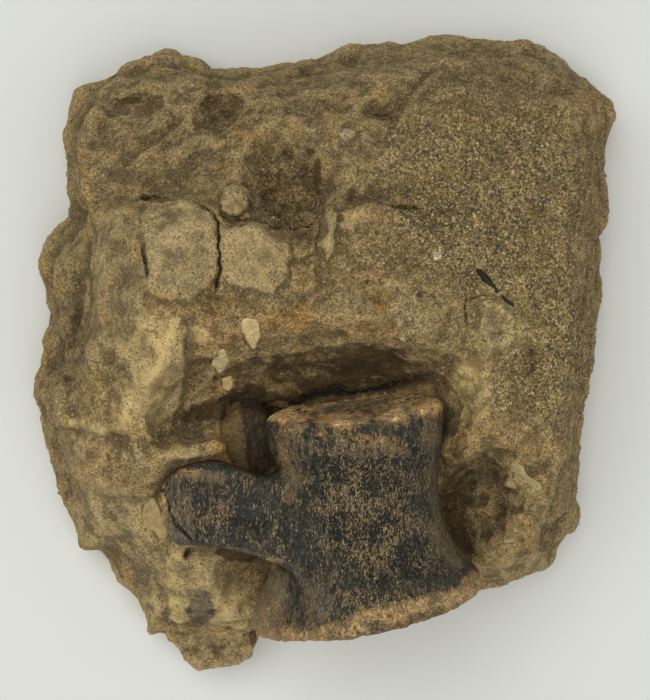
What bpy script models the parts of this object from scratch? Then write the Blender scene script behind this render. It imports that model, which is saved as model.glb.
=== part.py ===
# Fossil dinosaur vertebra, half freed from its block of sandstone.
#
# The block lies on its back with the bone facing up. +X is right and +Y is towards the head end
# of the bone as seen from above, +Z is up, and the origin is under the middle of the specimen.
# Shapes are worked out in millimetres, and the last step scales the finished meshes to metres.

import math

import bmesh
import bpy
import numpy as np
from mathutils import Matrix, Vector, noise
from mathutils.bvhtree import BVHTree

METRES_PER_MM = 0.001
GAP = 0.3  # clearance kept between touching pieces
SHARP_ANGLE = 35.0  # degrees; edges that bend more than this stay crisp

# Body of the bone: a spool between two round ends, lying almost level in the rock.
HEAD_END_CENTRE = Vector((7.0, -13.9, 44.0))
TAIL_END_CENTRE = Vector((10.3, -64.6, 39.0))
HEAD_END_RADIUS = 21.7
WAIST_RADIUS = 19.0
TAIL_END_RADIUS = 28.3  # from side to side
TAIL_END_FLATNESS = 0.85  # its height as a share of its width
TAIL_END_SLANT = 0.15  # the tail face leans, so its right side ends sooner
END_DISH = 2.2  # how far each end face is hollowed
SPOOL_SIDES = 48
BONE_VOXEL = 0.85
BONE_TRIANGLES = 2900

# Hollow in the left flank, under the web and close to the tail rim.
FLANK_HOLLOW_DEPTH = 0.24  # share of the radius
FLANK_HOLLOW_ANGLE = 47.0  # degrees from the front, round to the left
FLANK_HOLLOW_SPREAD = 24.0  # degrees
FLANK_HOLLOW_PLACE = 0.84  # share of the length, from the head end
FLANK_HOLLOW_LENGTH = 0.15

# Transverse process: a flat bar on the left of the body, with a web that runs down to the tail rim.
PROCESS_TOP = 53.4
PROCESS_THICKNESS = 11.5
PROCESS_OUTLINE = (  # counter-clockwise, seen from above
    (-39.2, -31.4), (-38.9, -37.0), (-37.9, -42.6), (-36.0, -46.6), (-30.7, -46.2), (-23.6, -46.9),
    (-15.8, -48.7), (-10.2, -51.6), (-5.9, -56.4), (-2.8, -62.2), (0.2, -67.6), (9.0, -62.0),
    (9.0, -30.0), (-5.0, -26.6), (-10.8, -29.4), (-14.9, -30.1), (-20.1, -28.3), (-25.3, -26.3),
    (-30.0, -26.6), (-34.7, -28.0),
)
PROCESS_MIDLINE_Y = -37.5
PROCESS_HALF_WIDTH = 10.0
PROCESS_CROWN = 1.1  # how far each face bulges along the midline
PROCESS_TIP_THINNING = 0.16  # share of the thickness lost towards the tip
PROCESS_ROOT_RISE = 1.7  # the bar climbs this much to meet the body
PROCESS_TIP_DROP = 0.8
PROCESS_TIP_BREAK = 3.4  # the broken tip slopes down this much
WEB_DROP = 2.6
PLATE_VOXEL = 1.0
PROCESS_ROOT_X = -10.5  # the cut that parts the process from the body
PROCESS_ROOT_Y = (-54.5, -22.0)

# Stump of the neural arch, low in the pit between the process and the head end.
ARCH_CENTRE = (-20.0, -23.0, 33.0)
ARCH_RADII = (4.4, 8.0, 10.5)
ARCH_CHIPS = (7.0, 1.1)  # size and height of its roughness
ARCH_TRIANGLES = 360

# Block: its outline seen from above, clockwise from the top left corner.
BLOCK_OUTLINE = (
    (-66, 55), (-64, 66), (-55, 70), (-49, 74), (-40, 75.5), (-33, 74), (-28, 71.5), (-14, 71.5),
    (-4, 73), (6, 75.5), (20, 78), (30, 80.5), (44, 79), (58, 76.5), (64, 72), (70, 65.5),
    (74.5, 60.5), (73.5, 57.5), (70.5, 54), (70.5, 38), (68, 28), (68.5, 8), (65, -6), (62.5, -22),
    (64, -34), (64, -43), (58.5, -49), (57, -54.5), (46, -57.5), (34, -58.5), (18, -61), (2, -64),
    (-10, -67), (-18, -72.5), (-32, -73), (-45, -72.5), (-49, -61), (-55.5, -51), (-62, -50.5),
    (-64.5, -38), (-71, -25), (-74.5, -12), (-71, -2), (-70, 9), (-73, 20), (-70.5, 28), (-64, 35),
    (-64.5, 46),
)
BLOCK_CENTRE = (-4.0, 6.0)
OUTLINE_MARGIN = 1.3  # makes up for what the rounding of the walls takes off
EDGE_BAND = 0.14  # outer share of the top that rounds over towards the walls
EDGE_DROP = 13.0
LOWEST_TOP = 17.0
WALL_FOOT = 0.42  # below this share of the height the walls draw in
WALL_FOOT_INSET = 8.0
WALL_SHOULDER = 0.72  # above this share they draw in again
WALL_SHOULDER_INSET = 3.0
WALL_WAVES = 2.2  # how often the insets swell and fade round the block
BLOCK_CUTS = 62
BLOCK_VOXEL = 1.7
BLOCK_TRIANGLES = 5200
COARSE_CHIPS = (19.0, 2.6)  # size and height of the broken surface
FINE_CHIPS = (7.5, 1.3)
SINK = 4.0  # rock is made this much too deep and is then cut flat

# Broken faces of the top: a point on each, and how it climbs for each mm towards +X and +Y.
TOP_FACES = (
    ("crown", (-12, 12, 61.5), -0.01, 0.03),
    ("left shoulder", (-47, 12, 55), 0.95, 0.05),
    ("right shoulder", (36, 12, 58.5), -0.27, 0.02),
    ("right flank", (61, 5, 47), -2.0, 0.0),
    ("upper slope", (-30, 37, 55), 0.22, -0.86),
    ("sandy face", (42, 47, 55.5), -0.26, -0.26),
    ("upper right slope", (40, 60, 49), -0.10, -1.25),
    ("lower left slope", (-42, -20, 50), 0.34, 0.46),
    ("lower left foot", (-30, -54, 41), 0.12, 0.72),
    ("lower right slope", (45, -24, 49.5), -0.16, 0.50),
)
FACE_BLEND = 1.5

# Ledges: a line on the top, the drop on its left-hand side, and how far the lowered ground reaches.
LEDGES = (
    (
        "edge of the cap",
        ((-60, 30), (-46, 37), (-36, 36.5), (-29, 33.5), (-25.5, 30), (-16, 31), (-9.5, 28.5),
         (-6, 25), (-2, 26), (0, 31.5), (3, 34.5), (18, 35), (25, 30.5), (33, 26)),
        5.0, 15.0,
    ),
    ("step on the left", ((-31, 10), (-35, -2), (-37, -12), (-44, -20)), 3.5, 12.0),
    ("edge of the sandy face", ((14, 50), (20, 58), (34, 64), (56, 62), (64, 56)), 3.0, 9.0),
    ("step above the gap", ((30, -12), (38, -20), (47, -25), (60, -26)), -1.6, 14.0),
)
LEDGE_WIDTH = 2.4
LEDGE_END = 8.0  # length over which a ledge fades at each end

# Hollows in the top: centre, half sizes, turn in degrees, floor height and how the floor climbs.
HOLLOWS = (
    ("niche behind the cap", (-8.5, 41), (9.5, 13), 14, 44.5, 0.25, 0.02),
    ("small pit", (-25.5, 58), (5.5, 4.5), 30, 28, 0.0, 0.0),
    ("long pit", (-47, 60.5), (7, 2.8), 8, 23, 0.0, 0.0),
    ("slope above the head end", (3, -10), (32, 15.5), 3, 37.5, 0.03, 1.45),
    ("head end pocket", (5, -15), (24, 8.5), 4, 35, 0.0, 0.9),
    ("channel on the left", (-31, -13), (13, 8), 24, 43.0, -0.45, 0.5),
    ("pit beside the body", (-15.5, -23), (6.6, 8.5), -8, 24, -0.35, 0.2),
    ("bed of the body", (11, -40), (17.5, 34), -6, 34, 0.0, 0.0),
    ("bed of the process", (-24, -37), (17.5, 12.5), -3, 41.4, 0.0, 0.10),
    ("gap on the right", (33, -45), (8.5, 20), -24, 27, 0.62, 0.05),
    ("hollow under the web", (-15, -60), (9.5, 13), 30, 27, -0.75, 0.25),
    ("step on the left flank", (-66, 17), (10, 22), 0, 27, 0.35, 0.0),
)
HOLLOW_EDGE = 0.30  # share of each half size over which a hollow fades out

# Lumps on the top: centre, half sizes, turn in degrees and height.
SWELLS = (
    ("left dome", (-38, -2), (13, 20), 10, 2.2),
    ("cap left of the crack", (-33, 29), (10, 6), 0, 2.6),
    ("cap right of the crack", (-16, 26), (8, 7), 0, 2.2),
    ("cap knob", (2, 32), (5, 4.5), 0, 3.2),
    ("cap tail", (14, 30), (10, 5), -25, 2.0),
    ("upper left hump", (-42, 62), (12, 9), 0, 4.0),
    ("upper middle hump", (-14, 60), (9, 8), 20, 2.4),
    ("upper ridge", (16, 62), (6, 14), -62, 5.0),
    ("right corner", (68, 60), (7, 6), 0, 3.5),
    ("left flank rib", (-70, -12), (7, 12), 0, 5.0),
    ("lip by the process", (-42, -25), (8, 6), 30, 3.0),
    ("lower left pad", (-30, -58), (10, 8), 0, 3.5),
    ("lower right pad", (50, -34), (8, 9), 0, 2.6),
    ("rim beside the head end", (36, -12), (6, 9), 0, 2.0),
)

# Lower slab: a deeper bed that shows past the foot of the block.
SLAB_OUTLINE = (
    (-43.5, -63), (-41.5, -72), (-38.5, -76.5), (-34.2, -80.6), (-30.3, -83.0), (-24.9, -81.6),
    (-19.4, -79.0), (-17.6, -73), (-17.2, -63),
)
SLAB_CENTRE = (-30.0, -71.0)
SLAB_TOP = 14.5
SLAB_CLIMB = (0.05, 0.10)  # how its top climbs towards +X and +Y
SLAB_FOOT = 0.5
SLAB_FOOT_INSET = 3.0
SLAB_CUTS = 22
SLAB_VOXEL = 0.9
SLAB_TRIANGLES = 560
SLAB_CHIPS = (8.0, 1.2)

# Inclusions: centre seen from above, radii, turn in degrees, and how far the top stands proud.
CLASTS = (
    ("clast_ridge", (-17.8, 4.4), (2.1, 4.3, 2.2), -4, 0.45),
    ("clast_recess_upper", (-25.6, -2.6), (2.3, 3.3, 2.2), -30, 0.7),
    ("clast_recess_lower", (-23.0, -7.6), (2.0, 2.4, 2.0), 20, 0.7),
    ("clast_lower_right", (48.6, -31.4), (5.3, 3.6, 2.8), -28, 0.6),
    ("clast_process_tip", (-41.5, -41.5), (2.2, 4.6, 2.2), 12, 0.35),
    ("pebble", (-21.0, 35.0), (3.5, 4.0, 3.8), 0, 3.6),
)
CLAST_WEAR = 0.16  # how uneven they are, as a share of the radius
PLANT_LINE = ((35.5, 18.8), (38.0, 16.2), (40.4, 13.6), (44.0, 10.4))  # seen from above
PLANT_WIDTHS = (0.4, 1.5, 0.85, 0.4)
PLANT_THICKNESS = 1.2

# Colour and roughness of each kind of stuff.
SANDSTONE = ((0.235, 0.172, 0.088), 0.95)
MUDSTONE = ((0.40, 0.31, 0.15), 0.9)
FOSSIL_BONE = ((0.052, 0.044, 0.034), 0.62)
CARBON = ((0.014, 0.011, 0.010), 0.5)

ABOVE_ALL = 200.0  # a height clear of the specimen, from which places on it are found


# General tools

def clear_scene():
    for obj in list(bpy.data.objects):
        bpy.data.objects.remove(obj)


def add_material(obj, finish):
    colour, roughness = finish
    made = bpy.data.materials.new(obj.name)
    made.use_nodes = True
    shader = made.node_tree.nodes["Principled BSDF"]
    shader.inputs["Base Color"].default_value = (*colour, 1.0)
    shader.inputs["Roughness"].default_value = roughness
    shader.inputs["Metallic"].default_value = 0.0
    obj.data.materials.clear()
    obj.data.materials.append(made)


def object_from(bm, name):
    bmesh.ops.recalc_face_normals(bm, faces=bm.faces)
    mesh = bpy.data.meshes.new(name)
    bm.to_mesh(mesh)
    bm.free()
    obj = bpy.data.objects.new(name, mesh)
    bpy.context.scene.collection.objects.link(obj)
    return obj


def apply_modifiers(obj):
    graph = bpy.context.evaluated_depsgraph_get()
    old = obj.data
    made = bpy.data.meshes.new_from_object(obj.evaluated_get(graph))
    obj.modifiers.clear()
    obj.data = made
    bpy.data.meshes.remove(old)


def remesh(obj, voxel):
    modifier = obj.modifiers.new("even_mesh", "REMESH")
    modifier.mode = "VOXEL"
    modifier.voxel_size = voxel
    apply_modifiers(obj)


def soften(obj, times):
    modifier = obj.modifiers.new("soften", "SMOOTH")
    modifier.factor = 0.5
    modifier.iterations = times
    apply_modifiers(obj)


def reduce_to(obj, triangles):
    obj.data.calc_loop_triangles()
    modifier = obj.modifiers.new("fewer_faces", "DECIMATE")
    modifier.ratio = min(1.0, triangles / len(obj.data.loop_triangles))
    modifier.use_collapse_triangulate = True
    apply_modifiers(obj)


def combine(obj, other, operation):
    modifier = obj.modifiers.new("combine", "BOOLEAN")
    modifier.operation = operation
    modifier.solver = "EXACT"
    modifier.object = other
    apply_modifiers(obj)


def copy_of(obj, name):
    made = obj.copy()
    made.data = obj.data.copy()
    made.name = name
    bpy.context.scene.collection.objects.link(made)
    return made


def cut_clear(obj, neighbours):
    """Cuts each neighbour out of the object, with a gap all round it."""
    for neighbour in neighbours:
        cutter = copy_of(neighbour, "cutter")
        swell = cutter.modifiers.new("swell", "DISPLACE")
        swell.strength = GAP
        swell.mid_level = 0.0
        apply_modifiers(cutter)
        combine(obj, cutter, "DIFFERENCE")
        bpy.data.objects.remove(cutter)


def volume(faces):
    return sum(a.co.dot(b.co.cross(c.co)) for a, b, c in (face.verts for face in faces)) / 6


def keep_largest_body(obj):
    """Keeps the closed surface with the largest volume, and drops sealed hollows and scraps."""
    bm = bmesh.new()
    bm.from_mesh(obj.data)
    bmesh.ops.triangulate(bm, faces=bm.faces)
    seen = set()
    bodies = []
    for start in bm.faces:
        if start in seen:
            continue
        body = [start]
        seen.add(start)
        for face in body:
            for edge in face.edges:
                for near in edge.link_faces:
                    if near not in seen:
                        seen.add(near)
                        body.append(near)
        bodies.append(body)
    kept = max(bodies, key=volume)
    dropped = [face for body in bodies if body is not kept for face in body]
    bmesh.ops.delete(bm, geom=dropped, context="FACES")
    bm.to_mesh(obj.data)
    bm.free()


def smooth_step(value):
    value = np.clip(value, 0.0, 1.0)
    return value * value * (3 - 2 * value)


def points_of(obj):
    points = np.empty(len(obj.data.vertices) * 3)
    obj.data.vertices.foreach_get("co", points)
    return points.reshape(-1, 3)


def set_points(obj, points):
    obj.data.vertices.foreach_set("co", np.asarray(points, float).ravel())
    obj.data.update()


def roughen(obj, chips, seed):
    """Moves each vertex along its normal by broken, angular noise of this size and height."""
    size, height = chips
    shift = Vector((7.3, 3.1, 5.7)) * seed
    moved = []
    for vertex in obj.data.vertices:
        place = vertex.co / size + shift
        rough = noise.fractal(place, 0.9, 2.1, 3)
        chip = noise.voronoi(place)[0][0]
        moved.append(vertex.co + vertex.normal * height * (0.75 * rough - 0.65 * chip + 0.23))
    set_points(obj, moved)


# Bone

def spool_profile(length):
    """Distance from the head end and radius, down the outside from one face centre to the other."""
    return (
        (END_DISH, 0.0),
        (END_DISH * 0.9, HEAD_END_RADIUS * 0.40),
        (END_DISH * 0.45, HEAD_END_RADIUS * 0.70),
        (0.5, HEAD_END_RADIUS * 0.88),
        (0.45, HEAD_END_RADIUS * 0.95),
        (1.5, HEAD_END_RADIUS * 0.99),
        (3.6, HEAD_END_RADIUS),
        (7.0, HEAD_END_RADIUS * 0.985),
        (11.0, WAIST_RADIUS * 1.06),
        (15.0, WAIST_RADIUS * 1.01),
        (20.0, WAIST_RADIUS),
        (25.0, WAIST_RADIUS * 1.015),
        (30.0, WAIST_RADIUS * 1.06),
        (34.0, WAIST_RADIUS * 1.13),
        (38.0, WAIST_RADIUS * 1.24),
        (42.0, TAIL_END_RADIUS * 0.935),
        (length - 5.6, TAIL_END_RADIUS * 0.995),
        (length - 3.0, TAIL_END_RADIUS),
        (length - 1.0, TAIL_END_RADIUS * 0.965),
        (length - 0.3, TAIL_END_RADIUS * 0.90),
        (length - END_DISH * 0.6, TAIL_END_RADIUS * 0.70),
        (length - END_DISH * 0.9, TAIL_END_RADIUS * 0.40),
        (length - END_DISH, 0.0),
    )


def flank_hollow(across, up, share):
    """Share of the radius that the hollow in the left flank takes off here."""
    angle = math.degrees(math.atan2(-across, up)) - FLANK_HOLLOW_ANGLE
    round_it = math.exp(-((angle / FLANK_HOLLOW_SPREAD) ** 2))
    along_it = math.exp(-(((share - FLANK_HOLLOW_PLACE) / FLANK_HOLLOW_LENGTH) ** 2))
    return FLANK_HOLLOW_DEPTH * round_it * along_it


def make_body():
    """The body of the bone, spun round its own axis, shaped and laid in place."""
    axis = (HEAD_END_CENTRE - TAIL_END_CENTRE).normalized()
    right = axis.cross(Vector((0, 0, 1))).normalized()
    front = right.cross(axis).normalized()
    length = (HEAD_END_CENTRE - TAIL_END_CENTRE).length
    bm = bmesh.new()
    chain = [bm.verts.new((radius, 0.0, -place)) for place, radius in spool_profile(length)]
    edges = [bm.edges.new(pair) for pair in zip(chain, chain[1:])]
    bmesh.ops.spin(
        bm, geom=chain + edges, cent=(0, 0, 0), axis=(0, 0, 1), angle=math.tau,
        steps=SPOOL_SIDES, use_merge=True,
    )
    bmesh.ops.remove_doubles(bm, verts=bm.verts, dist=0.01)
    for vertex in bm.verts:
        across, up, place = vertex.co.x, vertex.co.y, -vertex.co.z
        share = place / length
        up *= 1 - (1 - TAIL_END_FLATNESS) * share ** 2
        left = 1 - flank_hollow(across, up, share)
        across *= left
        up *= left
        place -= TAIL_END_SLANT * across * share ** 3
        vertex.co = HEAD_END_CENTRE - axis * place + right * across + front * up
    return object_from(bm, "centrum")


def make_process_plate():
    """The bar and its web as one plate with rounded edges and a broken, sloping tip."""
    bm = bmesh.new()
    ring = [bm.verts.new((x, y, PROCESS_TOP)) for x, y in PROCESS_OUTLINE]
    solid = bmesh.ops.extrude_face_region(bm, geom=[bm.faces.new(ring)])
    lower = [item for item in solid["geom"] if isinstance(item, bmesh.types.BMVert)]
    bmesh.ops.translate(bm, verts=lower, vec=(0, 0, -PROCESS_THICKNESS))
    plate = object_from(bm, "process_plate")
    remesh(plate, PLATE_VOXEL)
    soften(plate, 6)
    x, y, z = points_of(plate).T
    middle = PROCESS_TOP - PROCESS_THICKNESS / 2
    tip = x.min()
    from_midline = np.clip((y - PROCESS_MIDLINE_Y) / PROCESS_HALF_WIDTH, -1, 1)
    crown = PROCESS_CROWN * (1 - from_midline ** 2) * smooth_step((-6 - x) / 8)
    thinned = 1 - PROCESS_TIP_THINNING * smooth_step((tip + 15 - x) / 14)
    web = smooth_step((-50 - y) / 16) * smooth_step((x + 20) / 12)
    upper = smooth_step((z - middle) / (PROCESS_THICKNESS / 2))
    z = middle + (z - middle) * thinned + crown * np.sign(z - middle)
    z = z + PROCESS_ROOT_RISE * smooth_step((x + 24) / 26) - WEB_DROP * web
    z = z - PROCESS_TIP_DROP * smooth_step((tip + 9 - x) / 8)
    z = z - PROCESS_TIP_BREAK * upper * smooth_step((tip + 4 - x) / 4)
    set_points(plate, np.stack([x, y, z], axis=1))
    return plate


def cut_box(low, high):
    size = [b - a for a, b in zip(low, high)]
    middle = [(a + b) / 2 for a, b in zip(low, high)]
    bm = bmesh.new()
    bmesh.ops.create_cube(bm, size=1.0)
    bmesh.ops.scale(bm, vec=size, verts=bm.verts)
    bmesh.ops.translate(bm, vec=middle, verts=bm.verts)
    return object_from(bm, "cut_box")


def make_bone():
    """Joins body and process as one bone, then parts them with a thin cut at the process's root."""
    body = make_body()
    plate = make_process_plate()
    combine(body, plate, "UNION")
    remesh(body, BONE_VOXEL)
    soften(body, 7)
    reduce_to(body, BONE_TRIANGLES)
    process = copy_of(body, "transverse_process")
    low_y, high_y = PROCESS_ROOT_Y
    process_side = cut_box((-60, low_y, 20), (PROCESS_ROOT_X - GAP / 2, high_y, 80))
    cleared_side = cut_box((-70, low_y - GAP, 10), (PROCESS_ROOT_X + GAP / 2, high_y + GAP, 90))
    combine(process, process_side, "INTERSECT")
    combine(body, cleared_side, "DIFFERENCE")
    for helper in (plate, process_side, cleared_side):
        bpy.data.objects.remove(helper)
    keep_largest_body(body)
    keep_largest_body(process)
    return body, process


def make_arch(body, process):
    """The broken stump of the neural arch, at the left side of the pit."""
    bm = bmesh.new()
    bmesh.ops.create_icosphere(bm, subdivisions=3, radius=1.0)
    bmesh.ops.scale(bm, vec=ARCH_RADII, verts=bm.verts)
    bmesh.ops.translate(bm, vec=ARCH_CENTRE, verts=bm.verts)
    arch = object_from(bm, "neural_arch_stump")
    roughen(arch, ARCH_CHIPS, 4)
    reduce_to(arch, ARCH_TRIANGLES)
    cut_clear(arch, (body, process))
    keep_largest_body(arch)
    return arch


# Rock

def outline_radius(outline, centre, direction):
    """Distance from centre to the outline in each direction."""
    points = np.array(outline, float) - centre
    angle = np.arctan2(points[:, 1], points[:, 0])
    order = np.argsort(angle)
    distance = np.hypot(points[:, 0], points[:, 1])
    return np.interp(direction, angle[order], distance[order], period=math.tau)


def turned_distance(x, y, centre, half_sizes, degrees):
    """Distance from centre in half sizes, with the ellipse turned by this angle."""
    angle = math.radians(degrees)
    along = (x - centre[0]) * math.cos(angle) + (y - centre[1]) * math.sin(angle)
    across = (y - centre[1]) * math.cos(angle) - (x - centre[0]) * math.sin(angle)
    return np.hypot(along / half_sizes[0], across / half_sizes[1])


def ledge_drop(x, y, line, drop, reach):
    """How much the ground is lowered beside a ledge, which fades at both ends of its line."""
    nearest = np.full(x.shape, np.inf)
    side = np.zeros(x.shape)
    travelled = np.zeros(x.shape)
    done = 0.0
    for (ax, ay), (bx, by) in zip(line, line[1:]):
        length = math.dist((ax, ay), (bx, by))
        ux, uy = (bx - ax) / length, (by - ay) / length
        along = np.clip((x - ax) * ux + (y - ay) * uy, 0, length)
        distance = np.hypot(x - ax - along * ux, y - ay - along * uy)
        closer = distance < nearest
        nearest = np.where(closer, distance, nearest)
        side = np.where(closer, np.sign((y - ay) * ux - (x - ax) * uy), side)
        travelled = np.where(closer, done + along, travelled)
        done += length
    ends = smooth_step(np.minimum(travelled, done - travelled) / LEDGE_END)
    signed = nearest * side
    fade = np.exp(-(np.maximum(signed, 0.0) / reach) ** 2)
    return drop * smooth_step(signed / LEDGE_WIDTH + 0.5) * fade * ends


def top_height(x, y):
    """Height of the block's upper surface: its faces, with lumps added and hollows cut in."""
    faces = [z + rx * (x - px) + ry * (y - py) for _, (px, py, z), rx, ry in TOP_FACES]
    height = -FACE_BLEND * np.logaddexp.reduce([-face / FACE_BLEND for face in faces])
    for _, centre, half_sizes, turn, rise in SWELLS:
        height = height + rise * np.exp(-turned_distance(x, y, centre, half_sizes, turn) ** 2)
    for _, line, drop, reach in LEDGES:
        height = height - ledge_drop(x, y, line, drop, reach)
    for _, centre, half_sizes, turn, floor, climb_x, climb_y in HOLLOWS:
        inside = 1 + HOLLOW_EDGE - turned_distance(x, y, centre, half_sizes, turn)
        base = floor + climb_x * (x - centre[0]) + climb_y * (y - centre[1])
        height = height - smooth_step(inside / (2 * HOLLOW_EDGE)) * np.maximum(height - base, 0.0)
    return height


def divided_cube(name, cuts):
    """A finely divided cube, with each vertex's share of the way out, direction and level."""
    bm = bmesh.new()
    bmesh.ops.create_cube(bm, size=2.0)
    bmesh.ops.subdivide_edges(bm, edges=bm.edges, cuts=cuts, use_grid_fill=True)
    cube = object_from(bm, name)
    x, y, z = points_of(cube).T
    return cube, np.maximum(np.abs(x), np.abs(y)), np.arctan2(y, x), (z + 1) / 2


def make_block():
    """The main block: a divided cube pulled out to the outline and the upper surface."""
    block, share, direction, level = divided_cube("matrix_block", BLOCK_CUTS)
    reach = outline_radius(BLOCK_OUTLINE, BLOCK_CENTRE, direction) + OUTLINE_MARGIN
    waves = np.array([
        noise.noise(Vector((math.cos(angle), math.sin(angle), 0.2)) * WALL_WAVES)
        for angle in direction
    ])
    foot = np.clip(1 - level / WALL_FOOT, 0, 1) ** 1.4
    shoulder = np.clip((level - WALL_SHOULDER) / (1 - WALL_SHOULDER), 0, 1) ** 2
    inset = WALL_FOOT_INSET * (1 + 0.7 * waves) * foot
    inset = inset + WALL_SHOULDER_INSET * (1 - 0.8 * waves) * shoulder
    distance = share * (reach - inset * smooth_step((share - 0.8) / 0.2))
    x = BLOCK_CENTRE[0] + distance * np.cos(direction)
    y = BLOCK_CENTRE[1] + distance * np.sin(direction)
    top = top_height(x, y) - EDGE_DROP * smooth_step((share - 1 + EDGE_BAND) / EDGE_BAND) ** 2
    z = level * (np.maximum(top, LOWEST_TOP) + SINK) - SINK
    set_points(block, np.stack([x, y, z], axis=1))
    remesh(block, BLOCK_VOXEL)
    soften(block, 1)
    roughen(block, COARSE_CHIPS, 1)
    roughen(block, FINE_CHIPS, 2)
    reduce_to(block, BLOCK_TRIANGLES)
    flatten_base(block)
    return block


def make_slab():
    """The thin deeper bed at the foot of the block, with a rough top and an undercut edge."""
    slab, share, direction, level = divided_cube("matrix_lower_slab", SLAB_CUTS)
    reach = outline_radius(SLAB_OUTLINE, SLAB_CENTRE, direction)
    foot = np.clip(1 - level / SLAB_FOOT, 0, 1) * share ** 4
    distance = share * (reach - SLAB_FOOT_INSET * foot)
    x = distance * np.cos(direction)
    y = distance * np.sin(direction)
    top = SLAB_TOP + SLAB_CLIMB[0] * x + SLAB_CLIMB[1] * y
    z = level * (top + SINK) - SINK
    set_points(slab, np.stack([SLAB_CENTRE[0] + x, SLAB_CENTRE[1] + y, z], axis=1))
    remesh(slab, SLAB_VOXEL)
    roughen(slab, SLAB_CHIPS, 3)
    reduce_to(slab, SLAB_TRIANGLES)
    flatten_base(slab)
    keep_largest_body(slab)
    return slab


def flatten_base(obj):
    """Cuts off all that lies below the floor and closes the cut."""
    bm = bmesh.new()
    bm.from_mesh(obj.data)
    everything = list(bm.verts) + list(bm.edges) + list(bm.faces)
    cut = bmesh.ops.bisect_plane(
        bm, geom=everything, dist=0.0001, plane_co=(0, 0, 0), plane_no=(0, 0, 1), clear_inner=True,
    )
    rim = [item for item in cut["geom_cut"] if isinstance(item, bmesh.types.BMEdge)]
    bmesh.ops.triangle_fill(bm, edges=rim, use_beauty=True)
    bmesh.ops.recalc_face_normals(bm, faces=bm.faces)
    bm.to_mesh(obj.data)
    bm.free()


def surface_point(tree, x, y):
    """The place and slope of the rock's surface under this point."""
    place, normal, _, _ = tree.ray_cast(Vector((x, y, ABOVE_ALL)), Vector((0, 0, -1)))
    return place, normal


def make_clast(tree, name, centre, radii, turn, proud):
    """A worn stone sunk in the surface, with its broad side along it."""
    place, normal = surface_point(tree, *centre)
    bm = bmesh.new()
    bmesh.ops.create_icosphere(bm, subdivisions=2, radius=1.0)
    for vertex in bm.verts:
        vertex.co *= 1 + CLAST_WEAR * noise.noise(vertex.co * 1.7 + place * 0.3)
    bmesh.ops.scale(bm, vec=radii, verts=bm.verts)
    spin = Matrix.Rotation(math.radians(turn), 4, "Z")
    lean = Vector((0, 0, 1)).rotation_difference(normal).to_matrix().to_4x4()
    seat = Matrix.Translation(place - normal * (radii[2] - proud))
    bmesh.ops.transform(bm, matrix=seat @ lean @ spin, verts=bm.verts)
    return object_from(bm, name)


def make_plant_fragment(tree):
    """A pointed, blade-like scrap of carbonised plant, lying half sunk in the surface."""
    points = [surface_point(tree, x, y)[0] for x, y in PLANT_LINE]
    befores = points[:1] + points[:-1]
    afters = points[1:] + points[-1:]
    bm = bmesh.new()
    rings = []
    for point, before, after, width in zip(points, befores, afters, PLANT_WIDTHS):
        along = (after - before).normalized()
        across = along.cross(Vector((0, 0, 1))).normalized() * width / 2
        rise = across.cross(along).normalized() * PLANT_THICKNESS / 2
        corners = (point + rise * 0.8, point + across, point - rise * 1.2, point - across)
        rings.append([bm.verts.new(corner) for corner in corners])
    for lower, upper in zip(rings, rings[1:]):
        for index in range(4):
            bm.faces.new((lower[index], lower[index - 1], upper[index - 1], upper[index]))
    bm.faces.new(rings[0])
    bm.faces.new(rings[-1])
    bmesh.ops.subdivide_edges(bm, edges=bm.edges, cuts=1, use_grid_fill=True)
    bmesh.ops.triangulate(bm, faces=bm.faces)
    return object_from(bm, "plant_fragment")


def finish(objects):
    """Moves the origin under the middle of the specimen, scales it to metres and shades it."""
    low = np.min([points_of(obj).min(axis=0) for obj in objects], axis=0)
    high = np.max([points_of(obj).max(axis=0) for obj in objects], axis=0)
    middle = (low + high) / 2
    origin = Vector((middle[0], middle[1], low[2]))
    place = Matrix.Scale(METRES_PER_MM, 4) @ Matrix.Translation(-origin)
    for obj in objects:
        obj.data.transform(place)
        obj.data.shade_smooth()
        obj.data.set_sharp_from_angle(angle=math.radians(SHARP_ANGLE))


def main():
    clear_scene()
    centrum, process = make_bone()
    arch = make_arch(centrum, process)
    block = make_block()
    slab = make_slab()
    mesh = block.data
    tree = BVHTree.FromPolygons([v.co for v in mesh.vertices], [f.vertices for f in mesh.polygons])
    clasts = [make_clast(tree, *clast) for clast in CLASTS]
    plant = make_plant_fragment(tree)
    cut_clear(block, (centrum, process, arch, slab, *clasts, plant))
    keep_largest_body(block)
    for obj in (centrum, process, arch):
        add_material(obj, FOSSIL_BONE)
    for obj in (block, slab):
        add_material(obj, SANDSTONE)
    for obj in clasts:
        add_material(obj, MUDSTONE)
    add_material(plant, CARBON)
    finish([centrum, process, arch, block, slab, *clasts, plant])


main()
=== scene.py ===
import math

import bmesh
import bpy
import numpy as np
from mathutils import Euler, Matrix, Vector
from mathutils.bvhtree import BVHTree


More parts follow.
